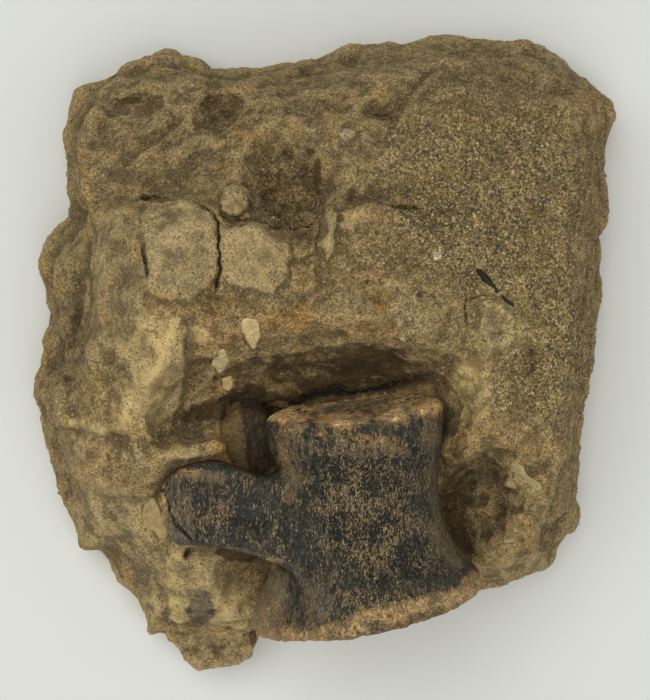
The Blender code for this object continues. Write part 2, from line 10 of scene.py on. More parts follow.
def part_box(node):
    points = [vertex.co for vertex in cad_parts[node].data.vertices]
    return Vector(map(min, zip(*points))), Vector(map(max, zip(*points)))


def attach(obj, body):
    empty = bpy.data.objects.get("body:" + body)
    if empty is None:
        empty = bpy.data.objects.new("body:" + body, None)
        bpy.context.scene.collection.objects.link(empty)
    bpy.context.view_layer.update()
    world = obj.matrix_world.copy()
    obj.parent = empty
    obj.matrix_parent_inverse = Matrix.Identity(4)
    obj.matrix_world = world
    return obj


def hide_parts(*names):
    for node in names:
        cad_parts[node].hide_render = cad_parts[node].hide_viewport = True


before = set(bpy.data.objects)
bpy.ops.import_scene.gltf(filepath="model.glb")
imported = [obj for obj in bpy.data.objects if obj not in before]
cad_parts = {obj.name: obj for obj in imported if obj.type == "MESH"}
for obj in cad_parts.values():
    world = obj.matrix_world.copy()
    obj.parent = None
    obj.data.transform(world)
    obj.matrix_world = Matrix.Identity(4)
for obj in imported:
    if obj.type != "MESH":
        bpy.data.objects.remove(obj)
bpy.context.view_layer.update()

mm = 0.001

# Every shape below is worked out in the drawing's millimetres: x right, y towards the bone's head end,
# with the middle of the photograph at 0, 0. The cut at the root of the process ties them to the frame.
rootCut = (-10.65, -54.5)
processLow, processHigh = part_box("transverse_process")
drawingShift = np.array([rootCut[0] - processHigh.x / mm, rootCut[1] - processLow.y / mm, 0.0])
toDrawing = Matrix.Translation(drawingShift) @ Matrix.Scale(1 / mm, 4)
toFrame = toDrawing.inverted()


# Meshes

def meshObject(bm, name):
    mesh = bpy.data.meshes.new(name)
    bm.to_mesh(mesh)
    bm.free()
    obj = bpy.data.objects.new(name, mesh)
    bpy.context.scene.collection.objects.link(obj)
    return obj


def copyOfNodes(name, *nodes):
    bm = bmesh.new()
    for node in nodes:
        bm.from_mesh(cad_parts[node].data)
    bmesh.ops.remove_doubles(bm, verts=bm.verts, dist=1e-6)
    bmesh.ops.transform(bm, matrix=toDrawing, verts=bm.verts)
    return meshObject(bm, name)


def bake(obj):
    graph = bpy.context.evaluated_depsgraph_get()
    old = obj.data
    made = bpy.data.meshes.new_from_object(obj.evaluated_get(graph))
    obj.modifiers.clear()
    obj.data = made
    bpy.data.meshes.remove(old)


def remesh(obj, voxel):
    modifier = obj.modifiers.new("evenMesh", "REMESH")
    modifier.mode = "VOXEL"
    modifier.voxel_size = voxel
    bake(obj)


def soften(obj, times, group=""):
    modifier = obj.modifiers.new("soften", "SMOOTH")
    modifier.factor = 0.5
    modifier.iterations = times
    modifier.vertex_group = group
    bake(obj)


def swell(obj, by):
    modifier = obj.modifiers.new("swell", "DISPLACE")
    modifier.strength = by
    modifier.mid_level = 0.0
    bake(obj)


def thin(obj, triangles, group=""):
    # the group's vertices go first
    obj.data.calc_loop_triangles()
    modifier = obj.modifiers.new("thin", "DECIMATE")
    modifier.ratio = min(1.0, triangles / len(obj.data.loop_triangles))
    modifier.use_collapse_triangulate = True
    modifier.vertex_group = group
    modifier.vertex_group_factor = 6.0
    bake(obj)
    obj.vertex_groups.clear()


def roughen(obj, kind, size, height, group="", middle=0.5, **settings):
    texture = bpy.data.textures.new(obj.name, kind)
    texture.noise_scale = size
    for name, value in settings.items():
        setattr(texture, name, value)
    modifier = obj.modifiers.new("roughen", "DISPLACE")
    modifier.texture = texture
    modifier.texture_coords = "LOCAL"
    modifier.strength = height
    modifier.mid_level = middle
    modifier.vertex_group = group
    bake(obj)


def pointsOf(obj):
    points = np.empty(len(obj.data.vertices) * 3)
    obj.data.vertices.foreach_get("co", points)
    return points.reshape(-1, 3)


def normalsOf(obj):
    normals = np.empty(len(obj.data.vertices) * 3)
    obj.data.vertices.foreach_get("normal", normals)
    return normals.reshape(-1, 3)


def setPoints(obj, points):
    obj.data.vertices.foreach_set("co", np.ascontiguousarray(points, float).ravel())
    obj.data.update()


def setGroup(obj, name, weights):
    group = obj.vertex_groups.get(name) or obj.vertex_groups.new(name=name)
    levels = np.round(np.clip(weights, 0, 1) * 20) / 20
    for level in np.unique(levels):
        group.add(np.flatnonzero(levels == level).tolist(), float(level), "REPLACE")
    return name


def setMask(obj, name, values):
    layer = obj.data.attributes.get(name) or obj.data.attributes.new(name, "FLOAT", "POINT")
    layer.data.foreach_set("value", np.ascontiguousarray(np.clip(values, 0, 1), np.float32))


def treeOf(obj):
    mesh = obj.data
    return BVHTree.FromPolygons([v.co for v in mesh.vertices], [f.vertices for f in mesh.polygons])


def ease(value):
    value = np.clip(value, 0.0, 1.0)
    return value * value * (3 - 2 * value)


def relief(obj, times):
    # how far each vertex stands out from the softened surface round it
    points = pointsOf(obj)
    edges = np.empty(len(obj.data.edges) * 2, int)
    obj.data.edges.foreach_get("vertices", edges)
    a, b = edges.reshape(-1, 2).T
    count = np.bincount(edges, minlength=len(points)).clip(1)[:, None]
    soft = points
    for _ in range(times):
        total = np.zeros_like(soft)
        for axis in range(3):
            total[:, axis] = np.bincount(a, soft[b, axis], len(points))
            total[:, axis] += np.bincount(b, soft[a, axis], len(points))
        soft = total / count
    return ((points - soft) * normalsOf(obj)).sum(axis=1)


# Places in the picture

# Marks, stains and painted shade are laid out as the camera sees them, in steps of the 650 by 700 picture,
# x to the right and y down. One step is about a quarter of a millimetre.
picture = {
    "middle": (325, 350),
    "cameraHeight": 500,  # mm
    "mmPerStep": 0.24 * 500 / 455,  # on the floor
}


def asSeen(points):
    step = picture["mmPerStep"] * (1 - points[:, 2] / picture["cameraHeight"])
    return picture["middle"][0] + points[:, 0] / step, picture["middle"][1] - points[:, 1] / step


def fromPicture(px, py, z):
    step = picture["mmPerStep"] * (1 - z / picture["cameraHeight"])
    return (px - picture["middle"][0]) * step, (picture["middle"][1] - py) * step, z


def wavered(x, y, by=1.6):
    # moves places a little to and fro, so that a drawn line runs unevenly
    sway = np.sin(0.10 * x + 1.7 * np.sin(0.08 * y)) + 0.35 * np.sin(0.41 * y + 1.3 * np.sin(0.31 * x + 2))
    swing = np.sin(0.09 * y + 1.9 * np.sin(0.07 * x + 1)) + 0.35 * np.sin(0.46 * x + 1.1 * np.sin(0.36 * y))
    return x + by * sway, y + by * swing


def fromLine(x, y, line):
    # distance to a line, the side (1 on its right hand) and how far along it the nearest place is
    nearest = np.full(x.shape, 1e9)
    side = np.zeros(x.shape)
    travelled = np.zeros(x.shape)
    done = 0.0
    for (ax, ay), (bx, by) in zip(line, line[1:]):
        length = math.dist((ax, ay), (bx, by))
        ux, uy = (bx - ax) / length, (by - ay) / length
        along = np.clip((x - ax) * ux + (y - ay) * uy, 0, length)
        distance = np.hypot(x - ax - along * ux, y - ay - along * uy)
        closer = distance < nearest
        nearest = np.where(closer, distance, nearest)
        side = np.where(closer, np.sign((y - ay) * ux - (x - ax) * uy), side)
        travelled = np.where(closer, done + along, travelled)
        done += length
    return nearest, side, travelled, done


def insideOutline(x, y, outline):
    # how deep inside a closed outline each place lies, below 0 outside it
    closed = (*outline, outline[0])
    nearest, _, _, _ = fromLine(x, y, closed)
    inside = np.zeros(x.shape, bool)
    for (ax, ay), (bx, by) in zip(closed, closed[1:]):
        if ay != by:
            crosses = ((ay > y) != (by > y)) & (x < (bx - ax) * (y - ay) / (by - ay) + ax)
            inside ^= crosses
    return np.where(inside, nearest, -nearest)


def onLine(x, y, line, width, taper=8.0):
    # 1 along a line that thins out at both ends, fading to 0 beside it
    near, _, travelled, length = fromLine(x, y, line)
    ends = ease(np.minimum(travelled, length - travelled) / taper + 0.15)
    return ends * np.exp(-(near / width) ** 2)


def inPatch(x, y, centre, halfSizes, degrees=0.0, edge=0.35):
    # 1 inside an ellipse turned clockwise, fading to 0 over its edge
    angle = math.radians(degrees)
    along = (x - centre[0]) * math.cos(angle) + (y - centre[1]) * math.sin(angle)
    across = (y - centre[1]) * math.cos(angle) - (x - centre[0]) * math.sin(angle)
    away = np.hypot(along / halfSizes[0], across / halfSizes[1])
    return ease((1 + edge - away) / (2 * edge))


def patches(x, y, places):
    total = np.zeros(x.shape)
    for centre, halfSizes, degrees, strength in places:
        total = np.maximum(total, strength * inPatch(x, y, centre, halfSizes, degrees))
    return total


# Rock

rockShape = {
    # lengths in mm
    "voxel": 0.48,
    "triangles": 195000,
    "slabVoxel": 0.4,
    "slabTriangles": 30000,
    "boulders": (13.0, 2.0),  # size and height of each layer of roughness
    "lumps": (5.0, 1.5),
    "knobs": (2.0, 0.75),
    "grains": (0.8, 0.34),
    "smoothCap": 0.45,  # share of the roughness left on the smooth cap stones
    "contact": 0.9,  # rock this close to the bone is drawn against it
    "swell": 0.18,
    "slabSwell": 0.15,
    "seatDepth": 0.7,  # of the stones
    # these two measures give painted shade in the hollows and painted light on what stands out
    "fineRelief": (6, 0.5),  # rounds of softening that it is measured against, mm between dark and light
    "broadRelief": (45, 3.0),
}

# line, width in steps, depth in mm; those deeper than 1 mm also get painted shade along them
cracks = (
    (((213, 211), (219, 222), (220, 232), (217, 246), (218, 258), (219, 275), (217, 292)), 1.3, 3.0),
    (((143, 246), (142, 256), (146, 264), (149, 277)), 1.3, 2.4),
    (((221, 205), (222, 214), (232, 219), (248, 219), (262, 222), (275, 227), (290, 230), (306, 228),
      (315, 220)), 1.5, 1.65),
    (((150, 203), (165, 199), (190, 203), (214, 213)), 1.2, 1.35),
    (((288, 236), (291, 246), (293, 252)), 1.4, 1.4),
    (((284, 266), (292, 261), (305, 258), (318, 253)), 1.2, 0.9),
    (((319, 222), (320, 234), (317, 246), (320, 258)), 1.5, 1.6),
    (((139, 196), (147, 198), (158, 196), (170, 197)), 1.4, 1.5),
    (((466, 290), (467, 302), (466, 312), (466, 326)), 1.3, 1.6),
    (((465, 301), (474, 299), (484, 296), (496, 297)), 1.2, 1.4),
    (((390, 204), (402, 204), (412, 207), (424, 207)), 1.6, 1.55),
    (((187, 548), (187, 556), (186, 563)), 2.2, 2.0),
    (((106, 450), (108, 456), (107, 461)), 1.4, 1.4),
    (((165, 590), (168, 604), (167, 618), (170, 630)), 3.0, 0.9),
    (((142, 330), (150, 331), (158, 334)), 1.0, 0.8),
    (((284, 404), (310, 398), (345, 392), (372, 388), (402, 384)), 2.6, 1.9),
    (((296, 400), (318, 393), (352, 386)), 5.0, 1.7),
)

# The ground steps down along these lines: line, drop in mm (on its right hand, or its left where below 0),
# reach of the lowered ground, width of the step
ledges = (
    (((222, 229), (240, 225), (255, 223), (268, 228), (280, 230), (290, 231), (305, 230), (318, 222)),
     -2.4, 28, 3.0),
    (((138, 224), (145, 207), (160, 200), (185, 202), (200, 208), (215, 214)), -1.8, 24, 3.0),
    (((318, 224), (319, 210), (326, 205), (335, 205), (341, 213), (352, 208), (375, 203), (395, 207),
      (412, 222), (440, 240), (462, 256)), -2.0, 26, 4.0),
    (((190, 322), (184, 350), (182, 380), (178, 405), (172, 430), (152, 440)), -2.4, 24, 5.0),
    (((392, 132), (402, 112), (410, 95), (425, 80), (440, 66)), -2.0, 34, 6.0),
    (((92, 262), (84, 300), (82, 322), (70, 340), (62, 362), (58, 382)), 2.4, 26, 6.0),
    (((45, 418), (85, 430), (130, 438), (165, 441)), 1.8, 26, 12.0),
    (((192, 110), (168, 133), (150, 150), (122, 176)), 1.5, 22, 5.0),
    (((100, 498), (128, 535), (152, 570), (166, 600), (180, 642)), 1.2, 24, 7.0),
    (((568, 345), (565, 400), (561, 455)), -1.3, 20, 6.0),
    (((100, 62), (130, 72), (160, 70), (200, 74)), -1.2, 16, 5.0),
    (((356, 112), (378, 114), (400, 113)), -1.4, 14, 3.0),
    (((245, 100), (285, 96), (320, 88), (350, 84)), -1.4, 18, 6.0),
    (((500, 452), (520, 462), (545, 492), (552, 530)), -0.9, 16, 5.0),
    (((462, 440), (486, 452), (500, 478), (505, 520), (500, 552)), 1.2, 22, 6.0),
    (((318, 160), (317, 178), (319, 196)), 1.8, 18, 2.5),
    (((256, 384), (270, 364), (296, 352), (340, 343), (392, 347), (428, 358), (446, 376)), 1.5, 20, 5.0),
    (((178, 428), (196, 408), (232, 392), (258, 384)), 1.6, 16, 6.0),
)

# outline, rise in mm, width of its rounded edge
humps = (
    (((141, 223), (147, 206), (162, 200), (185, 202), (198, 208), (212, 214), (218, 227), (216, 250),
      (217, 275), (211, 291), (190, 299), (165, 302), (150, 296), (149, 277), (144, 262),
      (144, 248)), 1.1, 6.0),
    (((221, 230), (240, 225), (255, 223), (265, 228), (278, 230), (286, 240), (292, 252), (289, 265),
      (286, 284), (270, 295), (245, 290), (229, 284), (221, 274), (219, 250)), 1.2, 5.0),
    (((295, 245), (305, 243), (317, 247), (318, 254), (304, 258), (294, 254)), 0.8, 4.0),
    (((319, 216), (324, 207), (334, 206), (338, 214), (337, 236), (335, 254), (327, 262),
      (321, 250)), 2.0, 6.0),
    (((289, 268), (303, 263), (317, 262), (316, 284), (305, 297), (291, 292)), 0.7, 6.0),
    (((150, 223), (162, 217), (176, 218), (178, 230), (166, 238), (153, 234)), 0.5, 5.0),
    (((168, 440), (182, 436), (199, 442), (200, 455), (186, 461), (170, 457)), 1.0, 6.0),
    (((204, 428), (218, 421), (234, 428), (240, 442), (232, 456), (212, 456), (203, 444)), 1.2, 7.0),
    (((341, 133), (348, 127), (356, 130), (357, 138), (348, 142)), 0.8, 3.0),
    (((432, 250), (438, 244), (446, 246), (447, 256), (438, 262), (432, 257)), 0.5, 3.0),
    (((480, 300), (500, 302), (516, 318), (514, 345), (492, 350), (478, 330)), 0.7, 9.0),
    (((496, 562), (520, 556), (548, 552), (550, 566), (524, 572), (505, 580)), 0.9, 7.0),
)

# hollows that are shallower in the picture: centre, half sizes, turn, share filled
filledHollows = (
    ((133, 104), (36, 26), 0, 0.8),
    ((221, 113), (30, 30), 0, 0.45),
)


def fillHollows(points):
    x, y = asSeen(points)
    plan = np.column_stack((points[:, :2], np.ones(len(points))))
    for centre, halfSizes, degrees, share in filledHollows:
        inside = inPatch(x, y, centre, halfSizes, degrees)
        rim = (inside > 0.01) & (inside < 0.3) & (points[:, 2] > 20)
        level = plan @ np.linalg.lstsq(plan[rim], points[rim, 2], rcond=None)[0]
        low = (points[:, 2] > level - 12) & (points[:, 2] < level)
        points[:, 2] += np.where(low, share * ease(inside * 1.6) * (level - points[:, 2]), 0)


def layHeights(x, y):
    # how much the cracks, ledges and humps lower or raise the top here
    x, y = wavered(x, y)
    lift = np.zeros(x.shape)
    for line, width, depth in cracks:
        lift -= depth * onLine(x, y, line, width)
    for line, drop, reach, width in ledges:
        near, side, travelled, length = fromLine(x, y, line)
        ends = ease(np.minimum(travelled, length - travelled) / 20.0)
        signed = near * side * (1 if drop > 0 else -1)
        fade = np.exp(-(np.maximum(signed, 0) / reach) ** 2)
        lift -= abs(drop) * ends * fade * ease(signed / width + 0.5)
    for outline, rise, width in humps:
        depth = insideOutline(x, y, outline)
        lift += rise * np.sqrt(1 - (1 - np.clip(depth / width, 0, 1)) ** 2)
    for _, _, _, outline in clasts.values():
        lift -= rockShape["seatDepth"] * ease(insideOutline(x, y, outline) / 2 + 0.3)
    return lift


# soft-edged stains, painted shade and kinds of ground: centre, half sizes, turn, strength
rockMasks = {
    "pale": (
        ((196, 335), (18, 10), 0, 0.8), ((206, 386), (8, 20), 25, 0.6), ((470, 392), (20, 33), 0, 1.0),
        ((208, 572), (14, 14), 0, 0.3), ((78, 423), (9, 6), 0, 0.9), ((97, 429), (10, 5), 20, 0.8),
        ((185, 450), (16, 9), 0, 0.5), ((395, 290), (16, 11), 0, 0.5), ((345, 310), (14, 10), 0, 0.45),
        ((355, 220), (16, 11), 0, 0.45), ((515, 325), (22, 22), 0, 0.45), ((255, 262), (24, 24), 0, 0.35),
        ((183, 250), (24, 36), 0, 0.3), ((230, 180), (14, 8), 0, 0.35),
    ),
    "white": (
        ((439, 253), (5, 6), 30, 0.9), ((349, 133), (7, 6), 0, 0.35), ((402, 338), (3, 4), 0, 1.0),
        ((266, 171), (3, 3), 0, 0.4), ((190, 299), (5, 3), -20, 0.7), ((345, 268), (7, 3), 30, 0.5),
        ((312, 130), (3, 3), 0, 0.35), ((123, 455), (3, 6), -30, 0.6),
    ),
    "rust": (
        ((372, 330), (28, 10), 0, 0.8), ((358, 323), (6, 4), 0, 1.0), ((383, 302), (13, 12), 0, 0.6),
        ((453, 276), (4, 6), 0, 1.0), ((475, 295), (4, 3), 0, 1.0), ((331, 136), (10, 6), 0, 0.8),
        ((290, 318), (30, 14), 0, 0.6), ((230, 444), (14, 26), 0, 1.0), ((245, 466), (9, 7), 0, 1.0),
        ((262, 412), (16, 9), -20, 0.7), ((533, 534), (8, 11), 0, 0.8), ((480, 464), (8, 4), 0, 0.7),
        ((90, 348), (7, 9), 0, 0.6), ((218, 168), (5, 9), 15, 0.6), ((250, 135), (20, 10), 0, 0.4),
        ((200, 415), (18, 8), 0, 0.5), ((440, 385), (10, 8), 0, 0.6), ((505, 445), (20, 6), 0, 0.45),
        ((470, 120), (50, 20), 0, 0.3), ((430, 180), (32, 16), 0, 0.3), ((586, 116), (12, 20), 0, 0.5),
        ((540, 240), (24, 30), 0, 0.25),
    ),
    "maroon": (
        ((384, 210), (14, 9), 0, 0.9), ((430, 229), (20, 5), 12, 0.7), ((303, 236), (12, 5), 10, 0.8),
        ((500, 296), (16, 4), 20, 0.6), ((400, 384), (40, 7), -8, 0.9), ((560, 500), (9, 26), 0, 0.35),
    ),
    # dark: brown-black stain with painted shade in the recess under the ledge, beside the bone, under the
    # process and in the hole
    "dark": (
        ((345, 368), (68, 25), -4, 0.7), ((366, 362), (46, 15), 5, 1.0), ((280, 364), (9, 8), 0, 0.8),
        ((350, 386), (88, 12), -7, 0.9), ((322, 394), (40, 10), -9, 1.0), ((212, 411), (28, 10), -18, 1.0),
        ((245, 400), (28, 15), -22, 0.9), ((236, 372), (16, 12), 0, 0.4), ((250, 375), (30, 18), -10, 0.45),
        ((286, 186), (30, 42), 5, 0.5), ((319, 178), (4, 21), 0, 1.0), ((298, 152), (17, 9), 0, 0.6),
        ((265, 200), (5, 14), 5, 0.7), ((308, 190), (6, 6), 0, 0.6), ((350, 194), (5, 11), 8, 0.9),
        ((341, 218), (5, 6), 0, 0.8), ((405, 206), (15, 2.5), 4, 0.8), ((221, 117), (13, 6), -5, 0.75),
        ((213, 98), (10, 15), 0, 0.4), ((127, 103), (16, 4), -8, 0.9), ((146, 197), (5, 4), 0, 0.9),
        ((170, 125), (4, 3), -30, 0.8), ((156, 132), (4, 3), 0, 0.7), ((304, 73), (6, 5), 0, 0.8),
        ((243, 75), (2, 6), 0, 0.5), ((75, 120), (5, 22), 0, 0.5), ((378, 116), (20, 4), 0, 0.7),
        ((410, 88), (5, 8), 30, 0.4), ((190, 378), (5, 26), 5, 0.45), ((66, 380), (6, 4), 30, 0.8),
        ((73, 330), (9, 28), 15, 0.55), ((458, 490), (18, 62), 0, 0.75), ((458, 528), (8, 30), -28, 1.0),
        ((490, 505), (28, 42), 0, 0.5), ((520, 512), (14, 6), 20, 0.5), ((545, 545), (6, 5), 0, 0.5),
        ((528, 362), (12, 14), 0, 0.45), ((210, 606), (6, 6), 0, 0.6), ((187, 609), (4, 5), 0, 0.7),
        ((190, 560), (8, 12), 0, 0.5), ((237, 553), (24, 7), 8, 1.0), ((254, 636), (4, 12), 0, 1.0),
        ((484, 338), (2.5, 4), 0, 0.7), ((502, 331), (3, 5), 0, 0.6), ((366, 283), (3, 3), 0, 0.8),
        ((421, 295), (2.5, 4), 0, 0.8), ((452, 283), (3, 2), 0, 0.7), ((177, 330), (4, 3), 0, 0.5),
        ((216, 385), (4, 10), 0, 0.7), ((235, 440), (4, 14), 0, 0.7), ((260, 450), (24, 30), 0, 0.9),
        ((243, 446), (9, 34), 0, 0.6), ((520, 253), (5, 5), 0, 0.5), ((215, 303), (16, 10), 0, 0.4),
        ((323, 300), (4, 20), 0, 0.4), ((165, 610), (5, 18), 0, 0.3), ((210, 650), (34, 6), 0, 0.45),
    ),
    # painted shade on the far slopes that fall away, the steep left flank, the slab's top edge and the
    # hollows beside the bone
    "paintedShade": (
        ((140, 115), (90, 66), 0, 1.0), ((330, 85), (130, 42), 0, 1.0), ((510, 75), (90, 36), 0, 0.8),
        ((300, 175), (70, 55), 0, 0.8), ((55, 310), (30, 90), 0, 1.0), ((215, 590), (44, 52), 0, 0.5),
        ((500, 510), (66, 66), 0, 1.0), ((375, 325), (36, 16), 0, 0.8), ((210, 652), (50, 22), 0, 0.5),
    ),
    "sandy": (
        ((490, 190), (95, 105), 0, 1.0), ((548, 330), (36, 95), 0, 0.9), ((410, 160), (36, 40), 0, 0.5),
        ((286, 190), (28, 38), 0, 0.6), ((400, 245), (50, 26), 0, 0.45), ((520, 385), (34, 34), 0, 0.6),
    ),
    "smoothStone": (
        ((180, 250), (37, 50), 0, 1.0), ((254, 258), (35, 36), 0, 1.0), ((110, 280), (28, 72), 0, 0.6),
        ((328, 235), (9, 27), 0, 0.8), ((500, 325), (26, 26), 0, 0.7), ((186, 450), (28, 14), 0, 0.8),
        ((520, 566), (32, 12), -10, 0.8), ((572, 400), (8, 52), 0, 0.7), ((108, 520), (36, 44), -20, 0.8),
        ((150, 585), (26, 46), -22, 0.7), ((85, 455), (34, 34), 0, 0.5), ((205, 590), (40, 46), 0, 0.9),
        ((212, 658), (52, 26), 0, 1.0), ((158, 370), (34, 56), 8, 0.8),
    ),
    "smudge": (),  # only the drawn ones below
}

# stains with a drawn edge, laid into the same masks: outline, width of the edge in steps, strength
rockMarks = {
    "pale": (
        (((165, 556), (182, 550), (187, 575), (189, 596), (184, 622), (178, 637), (168, 630), (163, 590)),
         8, 0.7),
        (((217, 592), (230, 584), (244, 590), (250, 606), (246, 626), (240, 638), (204, 640), (212, 620)),
         8, 0.8),
        (((146, 596), (160, 600), (172, 640), (158, 639), (146, 622)), 8, 0.6),
        (((112, 320), (140, 312), (186, 316), (188, 340), (180, 372), (174, 410), (160, 432), (112, 426),
          (104, 404), (128, 380), (118, 350)), 22, 0.7),
        (((136, 508), (148, 494), (162, 500), (168, 542), (158, 549), (142, 536)), 12, 0.75),
    ),
    "smudge": (
        (((187, 604), (196, 589), (206, 588), (216, 604), (215, 616), (205, 625), (197, 635), (190, 622),
          (184, 612)), 4, 1.0),
        (((160, 592), (168, 598), (170, 626), (163, 628)), 5, 0.5),
        (((183, 566), (189, 566), (190, 576), (184, 578)), 4, 0.6),
        (((198, 590), (204, 588), (204, 596), (199, 598)), 3, 0.8),
    ),
}


def marks(x, y, name):
    total = np.zeros(x.shape)
    for outline, edge, strength in rockMarks.get(name, ()):
        total = np.maximum(total, strength * ease(insideOutline(x, y, outline) / edge + 0.5))
    return total


def makeRock(boneTree):
    held = ("matrix_block", "clast_ridge", "clast_recess_upper", "clast_recess_lower",
            "clast_lower_right", "clast_process_tip", "pebble", "plant_fragment")
    rock = copyOfNodes("rock", *held)
    swell(rock, rockShape["swell"])
    remesh(rock, rockShape["voxel"])
    soften(rock, 5)
    points, normals = pointsOf(rock), normalsOf(rock)
    z = points[:, 2]
    x, y = asSeen(points)
    upward = ease((normals[:, 2] + 0.1) / 0.5) * ease((z - 14) / 8)
    fillHollows(points)
    points[:, 2] += layHeights(x, y) * upward
    setPoints(rock, points)
    underBone = distanceTo(boneTree, points, 4.0)
    smoothCap = patches(x, y, rockMasks["smoothStone"]) * upward
    exposed = ease((underBone - 0.4) / 2.5) * ease(z / 3.0)
    exposed *= 1 - (1 - rockShape["smoothCap"]) * smoothCap
    for _, _, _, outline in clasts.values():
        exposed *= 1 - 0.8 * ease(insideOutline(x, y, outline) / 3 + 0.6)
    setGroup(rock, "exposed", exposed)
    roughen(rock, "CLOUDS", *rockShape["boulders"], "exposed", noise_depth=1)
    roughen(rock, "CLOUDS", *rockShape["lumps"], "exposed", noise_depth=2)
    roughen(rock, "CLOUDS", *rockShape["knobs"], "exposed", noise_depth=2, noise_basis="IMPROVED_PERLIN")
    roughen(rock, "CLOUDS", *rockShape["grains"], "exposed", noise_depth=1)
    meetBone(rock, boneTree)
    restOnFloor(rock)
    setGroup(rock, "plain", 1 - 0.92 * ease((pointsOf(rock)[:, 2] - 6) / 14))
    thin(rock, rockShape["triangles"], "plain")
    paintRock(rock, 12)
    return rock


def restOnFloor(obj):
    points = pointsOf(obj)
    points[:, 2] = np.maximum(points[:, 2], 0.0)
    setPoints(obj, points)


def distanceTo(tree, points, limit):
    found = np.full(len(points), limit)
    for index, point in enumerate(points):
        hit = tree.find_nearest(point, limit)
        if hit[0] is not None:
            found[index] = hit[3]
    return found


def meetBone(rock, boneTree):
    # rock close beside the bone is drawn against it, so that the two meet as they do in the ground
    points = pointsOf(rock)
    reach = rockShape["contact"]
    for index, point in enumerate(points):
        place, _, _, away = boneTree.find_nearest(point, reach)
        if place is not None:
            points[index] += (place - Vector(point)) * 0.9 * (1 - away / reach)
    setPoints(rock, points)


def paintRock(rock, lowest):
    # no stains or painted shade below this height, on the sides that the picture doesn't show
    points = pointsOf(rock)
    x, y = wavered(*asSeen(points))
    top = ease((points[:, 2] - lowest) / 10)
    for name, places in rockMasks.items():
        setMask(rock, name, np.maximum(patches(x, y, places), marks(x, y, name)) * top)
    fineTimes, fineHeight = rockShape["fineRelief"]
    broadTimes, broadHeight = rockShape["broadRelief"]
    # painted shade in hollows and painted light on ridges, from how far each place stands out
    setMask(rock, "raised", 0.5 + relief(rock, fineTimes) / fineHeight)
    setMask(rock, "standing", 0.5 + relief(rock, broadTimes) / broadHeight * (0.2 + 0.8 * top))
    # painted shade along the cracks deeper than 1 mm
    crackDepth = np.zeros(x.shape)
    for line, width, depth in cracks:
        crackDepth = np.maximum(crackDepth, ease(depth - 1) * onLine(x, y, line, width))
    setMask(rock, "crack", crackDepth * top)


def makeSlab():
    slab = copyOfNodes("lowerSlab", "matrix_lower_slab")
    swell(slab, rockShape["slabSwell"])
    remesh(slab, rockShape["slabVoxel"])
    soften(slab, 6)
    setGroup(slab, "exposed", ease(pointsOf(slab)[:, 2] / 2.0))
    roughen(slab, "CLOUDS", *rockShape["lumps"], "exposed", noise_depth=2)
    roughen(slab, "CLOUDS", *rockShape["knobs"], "exposed", noise_depth=2)
    roughen(slab, "CLOUDS", *rockShape["grains"], "exposed", noise_depth=1)
    restOnFloor(slab)
    thin(slab, rockShape["slabTriangles"])
    paintRock(slab, -10)
    return slab


# Sand grains

grainShape = {
    "doublings": 13,  # 2 to this power grains in each layer
    "keepOff": 0.4,  # mm from the bone, the stump, the plant and the stones
    "standOut": 0.25,  # of its radius
    "squash": (0.7, 1.15),
}
grainLayers = {
    # the mask they lie on, their smallest and largest radius in mm, the seed of their places
    "coarseSandUpper": ("sandy", 0.26, 0.46, 11),
    "coarseSandLower": ("sandy", 0.20, 0.36, 12),
    "fineSandUpper": (None, 0.15, 0.27, 13),
    "fineSandLower": (None, 0.15, 0.30, 14),
}


def surfacePlaces(rock, mask, count, chance):
    # chance places on the rock's top, thicker where the mask is strong
    mesh = rock.data
    mesh.calc_loop_triangles()
    corners = np.empty(len(mesh.loop_triangles) * 3, int)
    mesh.loop_triangles.foreach_get("vertices", corners)
    a, b, c = pointsOf(rock)[corners.reshape(-1, 3).T]
    across = np.cross(b - a, c - a)
    area = np.linalg.norm(across, axis=1).clip(1e-9)
    normal = across / area[:, None]
    centre = (a + b + c) / 3
    x, y = wavered(*asSeen(centre))
    weight = area * ease((normal[:, 2] - 0.05) / 0.4) * ease((centre[:, 2] - 10) / 8)
    if mask:
        weight *= patches(x, y, rockMasks[mask])
    weight *= 1 - 0.6 * patches(x, y, rockMasks["smoothStone"])
    weight *= 1 - patches(x, y, rockMasks["white"])
    chosen = chance.choice(len(weight), count, p=weight / weight.sum())
    u, v = chance.random((2, count, 1))
    u, v = np.where(u + v > 1, (1 - u, 1 - v), (u, v))
    return a[chosen] + u * (b - a)[chosen] + v * (c - a)[chosen], normal[chosen]


def scatterGrains(name, rock, keptClear):
    mask, smallest, largest, seed = grainLayers[name]
    chance = np.random.default_rng(seed)
    count = 2 ** grainShape["doublings"]
    places, normals = surfacePlaces(rock, mask, count + 2000, chance)
    radii = smallest + (largest - smallest) * chance.random(len(places)) ** 2
    reach = radii + grainShape["keepOff"]
    free = [i for i, place in enumerate(places)
            if all(tree.find_nearest(place, reach[i])[0] is None for tree in keptClear)][:count]
    places, normals, radii = places[free], normals[free], radii[free, None]
    places += normals * radii * grainShape["standOut"]
    bm = bmesh.new()
    bmesh.ops.create_icosphere(bm, subdivisions=1, radius=1)
    for _ in range(grainShape["doublings"]):
        bmesh.ops.duplicate(bm, geom=bm.verts[:] + bm.edges[:] + bm.faces[:])
    grains = meshObject(bm, name)
    # each grain is squashed, turned and set in its own place
    points = pointsOf(grains).reshape(count, -1, 3)
    points = points * (chance.uniform(*grainShape["squash"], (count, 3)) * radii)[:, None]
    turns = np.array([Euler(turn).to_matrix() for turn in chance.uniform(0, 2 * math.pi, (count, 3))])
    points = np.einsum("gij,gpj->gpi", turns, points) + places[:, None]
    tones = np.repeat(chance.random(count), points.shape[1])
    setPoints(grains, points.reshape(-1, 3))
    setMask(grains, "tone", tones)
    x, y = wavered(*asSeen(pointsOf(grains)))
    for mask in ("sandy", "dark", "pale", "rust", "paintedShade"):
        setMask(grains, mask, patches(x, y, rockMasks[mask]))
    return grains


# Bone

